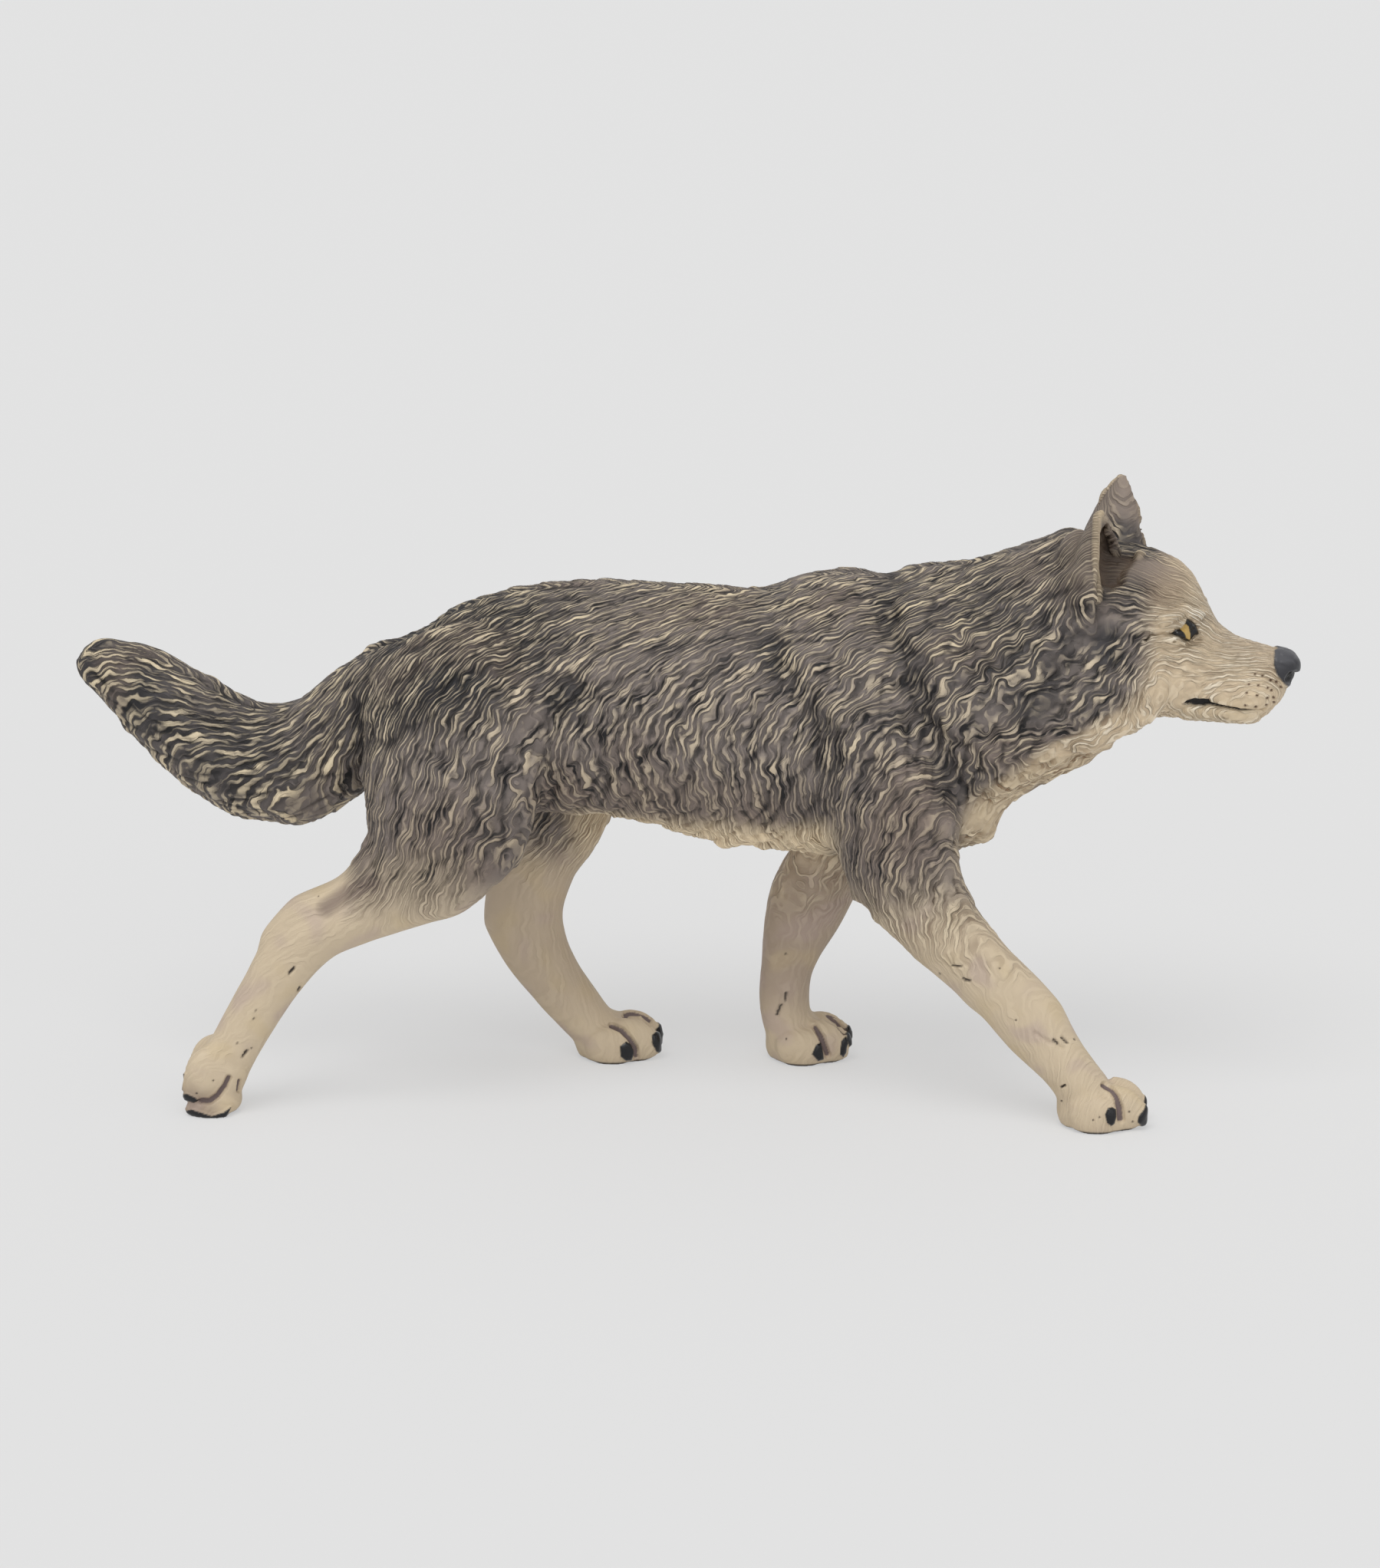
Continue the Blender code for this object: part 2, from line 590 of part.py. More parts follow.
def fold(points):
    """Steps where one thick tuft overhangs the next, and the hollows by them."""
    share = SIGHT.y / (SIGHT.y - np.abs(points[:, 1]))
    seen = np.stack([
        SIGHT.x + (points[:, 0] - SIGHT.x) * share,
        SIGHT.z + (points[:, 2] - SIGHT.z) * share,
    ], axis=1)
    body = ease(points[:, 2], 25.5, 27.0)
    near = points[:, 1] < 0.0
    shift = np.zeros(len(points))
    ragged = 0.7 * np.sin(1.7 * seen[:, 1] + 0.6 * seen[:, 0])
    ragged += 0.45 * np.sin(3.4 * seen[:, 1] - 1.9 * seen[:, 0])
    for height, spread, places in FOLDS:
        best, left = line_gap(seen, places)
        signed = np.copysign(best, left) + ragged
        ends = np.minimum(
            np.linalg.norm(seen - np.array(places[0]), axis=1),
            np.linalg.norm(seen - np.array(places[-1]), axis=1),
        )
        over = 0.5 + 0.5 * np.tanh(signed / 0.55)
        crest = over * np.exp(-np.abs(signed) / spread)
        gutter = (1.0 - over) * np.exp(-np.abs(signed) / (0.6 * spread))
        shift += height * (crest - 0.65 * gutter) * ease(ends, 0.0, 3.5) * body
    for places, width, depth, where in (
        (HIP, 3.4, 0.5, body),
        (HOCK_TENDON, 2.4, 0.55, near * (1.0 - body)),
        (FAR_HOCK, 2.4, 0.35, ~near * (1.0 - body)),
    ):
        best, left = line_gap(seen, places)
        shift -= depth * where * np.clip(1.0 - (2.0 * best / width) ** 2, 0.0, 1.0)
    return shift


# Soft hollows and swellings: place, radii, direction and depth of the push.
def carve(points, normals):
    """Folds, eye sockets, nostrils, toe clefts and mouth pressed in."""
    shift = fold(points)

    def press(place, radii, amount, head_part=False):
        middle = swung_point(place) if head_part else Vector(place)
        gap = (points - np.array(middle)) / np.array(radii)
        reach = np.clip(1.0 - (gap ** 2).sum(axis=1), 0.0, 1.0)
        shift[:] = shift + amount * reach ** 1.5

    def crease(places, radius, amount, head_part=False):
        marks = [swung_point(p) if head_part else Vector(p) for p in places]
        best = np.full(len(points), 1e9)
        for a, b in zip(marks[:-1], marks[1:]):
            a = np.array(a)
            b = np.array(b)
            run = b - a
            share = np.clip(((points - a) @ run) / (run @ run), 0.0, 1.0)
            gap = np.linalg.norm(points - (a + share[:, None] * run), axis=1)
            best = np.minimum(best, gap)
        reach = np.clip(1.0 - (best / radius) ** 2, 0.0, 1.0)
        shift[:] = shift + amount * reach

    w = BODY_HALF_WIDTH
    for side in (-1.0, 1.0):
        lids = [(54.9, side * 4.1, 52.5), (53.0, side * 5.1, 52.2), (51.4, side * 6.0, 53.0)]
        crease(lids, 0.95, -0.7, True)
        press((54.6, side * 4.1, 53.3), (1.5, 1.3, 1.5), -0.5, True)
        press((53.2, side * 4.9, 52.9), (0.9, 1.2, 0.8), 0.4, True)
        crease([
            (52.6, side * 5.6, 44.7), (muzzle_x(55.0), side * 4.0, 45.0),
            (muzzle_x(58.5), side * 3.3, 44.3), (muzzle_x(61.5), side * 2.7, 44.1),
        ], 0.8, -0.7, True)
        press((muzzle_x(65.0), side * 1.5 * NOSTRIL, 48.0), (1.1 * NOSTRIL, NOSTRIL, NOSTRIL), -0.5, True)
        crease([
            (22.4, side * 0.75 * w, 54.0), (24.4, side * 1.05 * w, 48.5), (26.5, side * 1.08 * w, 42.0),
            (29.5, side * 0.9 * w, 36.8), (33.0, side * 0.5 * w, 34.6),
        ], 2.6, -0.75)
    near = -1.0
    crease([
        (10.4, near * 0.95 * w, 50.5),
        (14.4, near * 1.1 * w, 44.0), (15.6, near * 1.15 * w, 37.0), (17.0, near * 1.1 * w, 29.0),
    ], 2.2, -0.8)
    crease([
        (-11.0, near * 0.9 * w, 48.0), (-13.5, near * 1.05 * w, 41.5), (-14.5, near * 1.1 * w, 34.0),
    ], 2.4, -0.7)
    crease([(11.0, 0.95 * w, 50.0), (10.5, 1.1 * w, 42.0), (11.0, 1.1 * w, 33.0)], 2.2, -0.7)
    crease([(-8.0, 0.95 * w, 48.0), (-7.5, 1.0 * w, 39.0), (-7.0, 0.9 * w, 32.0)], 2.4, -0.7)
    for x, y in ((44.8, NEAR_FORE_Y), (-8.7, FAR_HIND_Y), (12.6, FAR_FORE_Y)):
        for side in (-1.0, 1.0):
            cleft = side * 0.62 * PAW_HALF_WIDTH
            crease([(x + 1.0, y + cleft, 4.2), (x + 3.4, y + cleft, 1.2)], 0.75, -0.5)
        crease([(x + 2.0, y, 4.6), (x + 5.2, y, 1.0)], 0.7, -0.4)
    x = -50.0
    for side in (-1.0, 1.0):
        y = NEAR_HIND_Y + side * 0.9 * PAW_HALF_WIDTH
        crease([(x - 2.9, y * 1.0, 2.0), (x - 0.8, y, 1.9), (x + 1.4, y, 4.0)], 0.7, -0.45)
    return shift


# Building.

def clear_scene():
    """Start from nothing."""
    for old in list(bpy.data.objects):
        bpy.data.objects.remove(old, do_unlink=True)


def mesh_object(name, pieces, collection):
    """One mesh object from several closed skins."""
    verts = []
    faces = []
    for part_verts, part_faces in pieces:
        base = len(verts)
        verts.extend(part_verts)
        faces.extend(tuple(base + i for i in face) for face in part_faces)
    mesh = bpy.data.meshes.new(name)
    mesh.from_pydata(verts, [], faces)
    mesh.update()
    made = bpy.data.objects.new(name, mesh)
    collection.objects.link(made)
    return made


def settle(item):
    """Replace an object's mesh by what its modifiers make of it."""
    graph = bpy.context.evaluated_depsgraph_get()
    done = bpy.data.meshes.new_from_object(item.evaluated_get(graph))
    old = item.data
    item.modifiers.clear()
    item.data = done
    bpy.data.meshes.remove(old)


def arrays(mesh):
    """Vertex places, normals and edges as plain arrays."""
    count = len(mesh.vertices)
    points = np.empty(count * 3)
    mesh.vertices.foreach_get("co", points)
    normals = np.empty(count * 3)
    mesh.vertices.foreach_get("normal", normals)
    edges = np.empty(len(mesh.edges) * 2, dtype=np.int64)
    mesh.edges.foreach_get("vertices", edges)
    return points.reshape(-1, 3), normals.reshape(-1, 3), edges.reshape(-1, 2)


def soften(points, edges, rounds, amount):
    """Even out the skin; amount may differ from place to place."""
    count = np.bincount(edges.ravel(), minlength=len(points)).astype(float)
    for _ in range(rounds):
        total = np.zeros_like(points)
        for axis in range(3):
            total[:, axis] = (
                np.bincount(edges[:, 0], points[edges[:, 1], axis], len(points))
                + np.bincount(edges[:, 1], points[edges[:, 0], axis], len(points))
            )
        mean = total / np.maximum(count, 1.0)[:, None]
        points = points + (mean - points) * amount
    return points


def put_back(mesh, points):
    """Write vertex places and refresh the normals."""
    mesh.vertices.foreach_set("co", points.ravel())
    mesh.update()


def detail_amount(points):
    """Softening per place: light on face, ears and paws, full elsewhere."""
    x = points[:, 0]
    z = points[:, 2]
    face = ease(x, 48.0, 52.0)
    ears = ease(z, 58.5, 61.0) * ease(x, 39.0, 41.0)
    paws = 1.0 - ease(z, 6.0, 9.0)
    keep = np.maximum(np.maximum(face, ears), paws)
    return (0.55 - 0.43 * keep)[:, None]


def flat_soles(mesh):
    """Slice the paws off level at the ground and close the cuts."""
    work = bmesh.new()
    work.from_mesh(mesh)
    geometry = work.verts[:] + work.edges[:] + work.faces[:]
    cut = bmesh.ops.bisect_plane(
        work,
        geom=geometry,
        dist=1e-5,
        plane_co=(0.0, 0.0, 0.0),
        plane_no=(0.0, 0.0, -1.0),
        clear_outer=True,
    )
    rim = [item for item in cut["geom_cut"] if isinstance(item, bmesh.types.BMEdge)]
    rim = [edge for edge in rim if edge.is_boundary]
    bmesh.ops.triangle_fill(work, edges=rim, use_beauty=True, normal=(0.0, 0.0, -1.0))
    bmesh.ops.triangulate(work, faces=work.faces[:])
    bmesh.ops.recalc_face_normals(work, faces=work.faces[:])
    work.to_mesh(mesh)
    work.free()
    mesh.update()


def build():
    """Whole figurine, from rough masses to the finished moulding."""
    clear_scene()
    collection = bpy.data.collections.new(NAME)
    bpy.context.scene.collection.children.link(collection)

    pieces = trunk_and_neck() + head() + legs() + [tail()] + tufts()
    pieces += paw(44.8, NEAR_FORE_Y)
    pieces += paw(-8.7, FAR_HIND_Y)
    pieces += paw(12.6, FAR_FORE_Y)
    pieces += pushing_paw(-50.0, NEAR_HIND_Y)
    wolf = mesh_object(NAME, pieces, collection)

    remesh = wolf.modifiers.new("one_skin", "REMESH")
    remesh.mode = "VOXEL"
    remesh.voxel_size = SKIN_STEP
    remesh.adaptivity = 0.0
    settle(wolf)

    points, normals, edges = arrays(wolf.data)
    points = soften(points, edges, 9, detail_amount(points))
    put_back(wolf.data, points)

    points, normals, edges = arrays(wolf.data)
    points = points + normals * carve(points, normals)[:, None]
    put_back(wolf.data, points)

    points, normals, edges = arrays(wolf.data)
    points = points + normals * lay_locks(points, normals)[:, None]
    points = soften(points, edges, 1, 0.35)
    put_back(wolf.data, points)

    points, normals, edges = arrays(wolf.data)
    group = wolf.vertex_groups.new(name="less_detail")
    x = points[:, 0]
    z = points[:, 2]
    face = ease(x, 48.0, 52.0)
    ears = ease(z, 59.5, 61.0) * ease(x, 39.0, 41.0)
    paws = 1.0 - ease(z, 6.0, 9.0)
    keep = np.maximum(np.maximum(face, ears), paws)
    for i, share in enumerate(keep):
        group.add([i], float(1.0 - 0.85 * share), "REPLACE")
    triangles = sum(len(face.vertices) - 2 for face in wolf.data.polygons)
    thin = wolf.modifiers.new("facets", "DECIMATE")
    thin.decimate_type = "COLLAPSE"
    thin.ratio = TRIANGLES / triangles
    thin.vertex_group = group.name
    thin.vertex_group_factor = 1.0
    thin.use_collapse_triangulate = True
    settle(wolf)
    wolf.vertex_groups.clear()

    flat_soles(wolf.data)

    points, normals, edges = arrays(wolf.data)
    low = points.min(axis=0)
    high = points.max(axis=0)
    points = points - np.array([(low[0] + high[0]) / 2, (low[1] + high[1]) / 2, low[2]])
    points = points * (LENGTH / DRAWN_LENGTH) * MM
    put_back(wolf.data, points)

    vinyl = bpy.data.materials.new("painted_vinyl")
    vinyl.use_nodes = True
    shader = vinyl.node_tree.nodes["Principled BSDF"]
    shader.inputs["Base Color"].default_value = (0.30, 0.26, 0.22, 1.0)
    shader.inputs["Roughness"].default_value = 0.62
    wolf.data.materials.clear()
    wolf.data.materials.append(vinyl)
    for polygon in wolf.data.polygons:
        polygon.use_smooth = False
    return wolf


build()
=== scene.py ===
"""Painted looks of the wolf figurine, laid over its moulded body."""

import math
import random

import bpy
import numpy as np
from mathutils import Matrix, Vector, kdtree, noise


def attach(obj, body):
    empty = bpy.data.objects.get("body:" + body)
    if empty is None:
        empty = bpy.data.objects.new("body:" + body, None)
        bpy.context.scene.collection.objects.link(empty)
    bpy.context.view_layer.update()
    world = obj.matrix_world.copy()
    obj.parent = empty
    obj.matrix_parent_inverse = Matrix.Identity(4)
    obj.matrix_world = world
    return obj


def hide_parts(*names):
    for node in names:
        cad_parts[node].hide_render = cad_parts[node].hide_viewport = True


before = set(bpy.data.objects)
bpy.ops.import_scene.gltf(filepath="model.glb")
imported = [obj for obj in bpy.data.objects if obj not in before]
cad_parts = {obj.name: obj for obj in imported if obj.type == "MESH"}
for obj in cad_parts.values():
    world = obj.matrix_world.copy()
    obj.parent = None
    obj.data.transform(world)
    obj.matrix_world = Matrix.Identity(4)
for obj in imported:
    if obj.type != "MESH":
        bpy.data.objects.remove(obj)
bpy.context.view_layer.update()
MM = 0.001
scene = bpy.context.scene


# Studio: a pale paper sweep under a broad soft light from above and a weak one from the front.
# The camera stands well back with a long lens, a little above the figurine, level with its side.

def shade(red, green, blue):
    """Colour as seen on a screen, 0 to 255, turned into light."""
    values = []
    for part in (red, green, blue):
        share = part / 255.0
        values.append(share / 12.92 if share <= 0.04045 else ((share + 0.055) / 1.055) ** 2.4)
    return values


def nodes_of(name):
    """New material with its node tree and its surface shader."""
    material = bpy.data.materials.new(name)
    material.use_nodes = True
    tree = material.node_tree
    return material, tree, tree.nodes["Principled BSDF"]


def seen_directly(tree):
    """One for rays that show the backdrop, zero for the light that it throws."""
    path = tree.nodes.new("ShaderNodeLightPath")
    seen = path.outputs["Is Camera Ray"]
    for name in ("Is Glossy Ray", "Is Transmission Ray"):
        either = tree.nodes.new("ShaderNodeMath")
        either.operation = "MAXIMUM"
        tree.links.new(seen, either.inputs[0])
        tree.links.new(path.outputs[name], either.inputs[1])
        seen = either.outputs["Value"]
    return seen


turn = math.radians(3.0)
rise = math.radians(16.5)
distance = 520.0 * MM
aim = Vector((0.82, 0.0, 34.26)) * MM
back = Vector((math.sin(turn) * math.cos(rise), -math.cos(turn) * math.cos(rise), math.sin(rise)))
across = Vector((math.cos(turn), math.sin(turn), 0.0))
camera_data = bpy.data.cameras.new("camera")
camera = bpy.data.objects.new("camera", camera_data)
scene.collection.objects.link(camera)
placing = Matrix((across, back.cross(across), back)).transposed().to_4x4()
placing.translation = aim + back * distance
camera.matrix_world = placing
camera_data.sensor_width = 36.0
camera_data.lens = 111.72
camera_data.clip_start = 0.05
camera_data.clip_end = 50.0
scene.camera = camera

scene.view_settings.view_transform = "Standard"
world = bpy.data.worlds.new("soft_room")
world.use_nodes = True
scene.world = world
world_tree = world.node_tree
sky = world_tree.nodes["Background"]
sky.inputs["Color"].default_value = (1.0, 1.0, 1.0, 1.0)
sky.inputs["Strength"].default_value = 0.62
seen_sky = world_tree.nodes.new("ShaderNodeBackground")
seen_sky.inputs["Color"].default_value = (*shade(225, 225, 225), 1.0)
choose = world_tree.nodes.new("ShaderNodeMixShader")
world_tree.links.new(seen_directly(world_tree), choose.inputs["Fac"])
world_tree.links.new(sky.outputs["Background"], choose.inputs[1])
world_tree.links.new(seen_sky.outputs["Background"], choose.inputs[2])
world_tree.links.new(choose.outputs["Shader"], world_tree.nodes["World Output"].inputs["Surface"])


def sun(name, heading, height, strength, spread):
    """Broad soft light from one side."""
    light = bpy.data.lights.new(name, "SUN")
    light.energy = strength
    light.angle = math.radians(spread)
    lamp = bpy.data.objects.new(name, light)
    scene.collection.objects.link(lamp)
    a = math.radians(heading)
    e = math.radians(height)
    toward = Vector((math.sin(a) * math.cos(e), -math.cos(a) * math.cos(e), math.sin(e)))
    lamp.rotation_euler = toward.to_track_quat("Z", "Y").to_euler()


sun("top_softbox", -20.0, 62.0, 1.25, 34.0)
sun("front_fill", 25.0, 24.0, 0.45, 60.0)

floor_mesh = bpy.data.meshes.new("floor")
reach = 20.0
floor_mesh.from_pydata(
    [(-reach, -reach, 0), (reach, -reach, 0), (reach, reach, 0), (-reach, reach, 0)],
    [], [(0, 1, 2, 3)],
)
floor = bpy.data.objects.new("floor", floor_mesh)
scene.collection.objects.link(floor)
floor_material, floor_tree, floor_shader = nodes_of("pale_sweep")
floor_seen = seen_directly(floor_tree)
floor_tone = floor_tree.nodes.new("ShaderNodeMix")
floor_tone.data_type = "RGBA"
floor_tone.inputs[6].default_value = (0.84, 0.84, 0.84, 1.0)
floor_tone.inputs[7].default_value = (0.30, 0.30, 0.30, 1.0)
floor_tree.links.new(floor_seen, floor_tone.inputs["Factor"])
floor_tree.links.new(floor_tone.outputs[2], floor_shader.inputs["Base Color"])
floor_glow = floor_tree.nodes.new("ShaderNodeMath")
floor_glow.operation = "MULTIPLY"
floor_glow.inputs[1].default_value = 0.455
floor_tree.links.new(floor_seen, floor_glow.inputs[0])
floor_tree.links.new(floor_glow.outputs["Value"], floor_shader.inputs["Emission Strength"])
floor_shader.inputs["Emission Color"].default_value = (1.0, 1.0, 1.0, 1.0)
floor_shader.inputs["Roughness"].default_value = 0.95
floor_shader.inputs["Specular IOR Level"].default_value = 0.0
floor_mesh.materials.append(floor_material)
floor.location.z = -0.00002


# Body skin: the figurine is moulded in soft vinyl in one piece, so its skin is one closed surface.
# The solid body is rounded off, joined with sharper ears and toes and meshed anew, and the head
# and the paws are then meshed twice as fine.

SKIN_STEP = 0.23
HEAD_YAW = math.radians(-5.0)
HEAD_PIVOT = Vector((42.0, 0.0, 52.0))
NEAR_FORE = (44.3, -9.55)
FAR_HIND = (-8.5, 9.5)
FAR_FORE = (12.5, 10.05)


def on_head(point):
    """Place given for a head that looks straight ahead, swung with the real one."""
    return Matrix.Rotation(HEAD_YAW, 3, "Z") @ (Vector(point) - HEAD_PIVOT) + HEAD_PIVOT


def ball(centre, radii, tilt=0.0, segments=28, rows=16):
    """Ellipsoid as vertices and faces."""
    verts = [(0.0, 0.0, 1.0)]
    for r in range(1, rows):
        polar = math.pi * r / rows
        for i in range(segments):
            around = 2 * math.pi * i / segments
            verts.append((
                math.sin(polar) * math.cos(around),
                math.sin(polar) * math.sin(around),
                math.cos(polar),
            ))
    verts.append((0.0, 0.0, -1.0))
    faces = [(0, 1 + i, 1 + (i + 1) % segments) for i in range(segments)]
    for r in range(rows - 2):
        low = 1 + r * segments
        for i in range(segments):
            j = (i + 1) % segments
            faces.append((low + i, low + segments + i, low + segments + j, low + j))
    end = len(verts) - 1
    faces += [(end - segments + i, end, end - segments + (i + 1) % segments) for i in range(segments)]
    spin = Matrix.Rotation(-tilt, 3, "Y")
    placed = [
        tuple(spin @ Vector((x * radii[0], y * radii[1], z * radii[2])) + Vector(centre))
        for x, y, z in verts
    ]
    return placed, faces


def ear(base, tip, open_way, half_width, wall):
    """Pricked ear: a thin shell that is open on the side it listens to."""
    base = Vector(base)
    tip = Vector(tip)
    up = (tip - base).normalized()
    front = Vector(open_way)
    front = (front - up * front.dot(up)).normalized()
    side = up.cross(front)
    rings = []
    for k in range(13):
        share = k / 12.0
        middle = base.lerp(tip, share)
        girth = half_width * (1.0 - share ** 1.7) ** 0.8 + 0.3
        thin = max(0.25, 1.0 - wall / girth)
        outer = []
        inner = []
        hollow = 0.85 * thin * (1.0 - share) ** 0.6
        for i in range(17):
            angle = math.radians(-104 + 208 * i / 16)
            outer.append(
                middle + side * (girth * math.sin(angle)) - front * (girth * 0.85 * math.cos(angle))
            )
            inner.append(
                middle + side * (girth * thin * math.sin(angle)) - front * (girth * hollow * math.cos(angle))
            )
        rings.append(outer + inner[::-1])
    size = len(rings[0])
    verts = [tuple(point) for ring in rings for point in ring]
    faces = []
    for row in range(len(rings) - 1):
        for i in range(size):
            j = (i + 1) % size
            low = row * size
            faces.append((low + i, low + j, low + size + j, low + size + i))
    faces.append(tuple(reversed(range(size))))
    faces.append(tuple((len(rings) - 1) * size + i for i in range(size)))
    return verts, faces


def swung(piece):
    """Head piece turned with the head."""
    return [tuple(on_head(v)) for v in piece[0]], piece[1]


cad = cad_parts["wolf_figure"]
verts = [tuple(v.co / MM) for v in cad.data.vertices]
faces = [tuple(p.vertices) for p in cad.data.polygons]
rough_mesh = bpy.data.meshes.new("rough")
rough_mesh.from_pydata(verts, [], faces)
rough = bpy.data.objects.new("rough", rough_mesh)
scene.collection.objects.link(rough)
weld = rough.modifiers.new("weld", "WELD")
weld.merge_threshold = 0.001
rounder = rough.modifiers.new("round", "SUBSURF")
rounder.levels = 2
rounder.render_levels = 2
small_forms = [
    swung(ear((44.4, -4.2, 54.8), (44.3, -6.95, 66.2), (0.94, -0.34, 0.1), 4.5, 0.85)),
    swung(ball((42.4, -4.4, 57.6), (2.6, 2.4, 6.2), 0.12)),
    swung(ear((44.9, 4.8, 55.3), (45.9, 6.7, 67.3), (0.80, 0.60, 0.1), 4.7, 0.85)),
]
for x, y in (NEAR_FORE, FAR_HIND, FAR_FORE):
    for side in (-1.0, 1.0):
        small_forms.append(ball((x + 2.4, y + side * 1.3, 2.25), (3.15, 1.4, 2.6), -0.22))
        small_forms.append(ball((x + 0.1, y + side * 2.5, 1.85), (2.8, 1.2, 2.3), -0.18))


def settled(item):
    """Mesh that an object's modifiers make."""
    graph = bpy.context.evaluated_depsgraph_get()
    return bpy.data.meshes.new_from_object(item.evaluated_get(graph))


def arrays(mesh):
    """Vertex places and quads of a mesh."""
    places = np.empty(len(mesh.vertices) * 3)
    mesh.vertices.foreach_get("co", places)
    corners = np.empty(len(mesh.loops), dtype=np.int32)
    mesh.loops.foreach_get("vertex_index", corners)
    return places.reshape(-1, 3), corners.astype(np.int64).reshape(-1, 4)


smooth_mesh = settled(rough)
all_verts = [tuple(v.co) for v in smooth_mesh.vertices]
all_faces = [tuple(p.vertices) for p in smooth_mesh.polygons]
for piece_verts, piece_faces in small_forms:
    start = len(all_verts)
    all_verts += piece_verts
    all_faces += [tuple(start + i for i in face) for face in piece_faces]
rough.modifiers.clear()
joined = bpy.data.meshes.new("joined")
joined.from_pydata(all_verts, [], all_faces)
rough.data = joined
remesh = rough.modifiers.new("one_skin", "REMESH")
remesh.mode = "VOXEL"
remesh.voxel_size = SKIN_STEP
points, quads = arrays(settled(rough))
bpy.data.objects.remove(rough)
count = len(points)

middles = points[quads].mean(axis=1)
fine_face = (middles[:, 0] > 48.3) & (middles[:, 2] > 40.0)
fine_face |= (middles[:, 2] > 59.0) & (middles[:, 0] > 39.0)
fine_paw = (middles[:, 2] < 5.6) & (middles[:, 2] > 0.15)
chosen = fine_face | fine_paw
fours = quads[chosen]
sides = np.concatenate([fours[:, [0, 1]], fours[:, [1, 2]], fours[:, [2, 3]], fours[:, [3, 0]]])
sides.sort(axis=1)
side_keys, side_of = np.unique(sides[:, 0] * count + sides[:, 1], return_inverse=True)
side_of = side_of.reshape(4, -1) + count
kept = quads[~chosen]
outer = np.concatenate([kept[:, [0, 1]], kept[:, [1, 2]], kept[:, [2, 3]], kept[:, [3, 0]]])
outer.sort(axis=1)
hanging = np.isin(side_keys, outer[:, 0] * count + outer[:, 1])
hanging_at = count + np.flatnonzero(hanging)
hanging_ends = np.stack([side_keys[hanging] // count, side_keys[hanging] % count], axis=1)
side_ends = np.stack([side_keys // count, side_keys % count], axis=1)
centre_of = count + len(side_keys) + np.arange(len(fours))
points = np.concatenate([points, points[side_ends].mean(axis=1), points[fours].mean(axis=1)])
p0, p1, p2, p3 = fours.T
m0, m1, m2, m3 = side_of
quads = np.concatenate([
    kept,
    np.stack([p0, m0, centre_of, m3], axis=1), np.stack([m0, p1, m1, centre_of], axis=1),
    np.stack([centre_of, m1, p2, m2], axis=1), np.stack([m3, centre_of, m2, p3], axis=1),
])
count = len(points)

sides = np.concatenate([quads[:, [0, 1]], quads[:, [1, 2]], quads[:, [2, 3]], quads[:, [3, 0]]])
sides.sort(axis=1)
keys = np.unique(sides[:, 0] * count + sides[:, 1])
edges = np.stack([keys // count, keys % count], axis=1)
neighbours = np.bincount(edges.ravel(), minlength=count)


def blurred(values, rounds, amount=0.6):
    """Columns of values evened out over the skin; amount may differ from vertex to vertex."""
    a, b = edges.T
    for _ in range(rounds):
        total = np.stack([
            np.bincount(a, column[b], count) + np.bincount(b, column[a], count) for column in values.T
        ], axis=1)
        values = values + (total / neighbours[:, None] - values) * amount
    return values


def normals_of(places):
    """Vertex normals of the quad skin."""
    a = places[quads[:, 2]] - places[quads[:, 0]]
    b = places[quads[:, 3]] - places[quads[:, 1]]
    flat = np.cross(a, b)
    total = np.zeros_like(places)
    for corner in range(4):
        for axis in range(3):
            total[:, axis] += np.bincount(quads[:, corner], flat[:, axis], count)
    total[hanging_at] = total[hanging_ends].sum(axis=1)
    return total / np.maximum(np.linalg.norm(total, axis=1), 1e-9)[:, None]


def ease(value, low, high):
    """Zero below low, one above high, smooth between."""
    share = np.clip((value - low) / (high - low), 0.0, 1.0)
    return share * share * (3.0 - 2.0 * share)


def zone(centre, radii, tilt=0.0, soft=1.0):
    """One inside an ellipse seen from the side, fading to zero at its rim."""
    dx = points[:, 0] - centre[0]
    dz = points[:, 2] - centre[1]
    c = math.cos(math.radians(tilt))
    s = math.sin(math.radians(tilt))
    u = (dx * c + dz * s) / radii[0]
    v = (-dx * s + dz * c) / radii[1]
    return 1.0 - ease(np.sqrt(u * u + v * v), 1.0 - soft, 1.0)


x, y, z = points.T
crisp = np.maximum(ease(x, 49.0, 53.0), ease(z, 58.0, 60.5) * ease(x, 38.5, 41.0))
crisp = np.maximum(crisp, 1.0 - ease(z, 5.0, 7.5))
points = blurred(points, 14, (0.6 - 0.25 * crisp)[:, None])
points[:, 2] = np.where(points[:, 2] < 0.02, 0.0, points[:, 2])
normals = normals_of(points)


# Carved marks: eye, brow, lips, nose, whisker pits, ear hollows, toe grooves and claws, cut into
# the mould by hand. Each is drawn as it is seen from the near side, in millimetres on the middle
# plane of the body, and the far side of the head and of each leg repeats it.

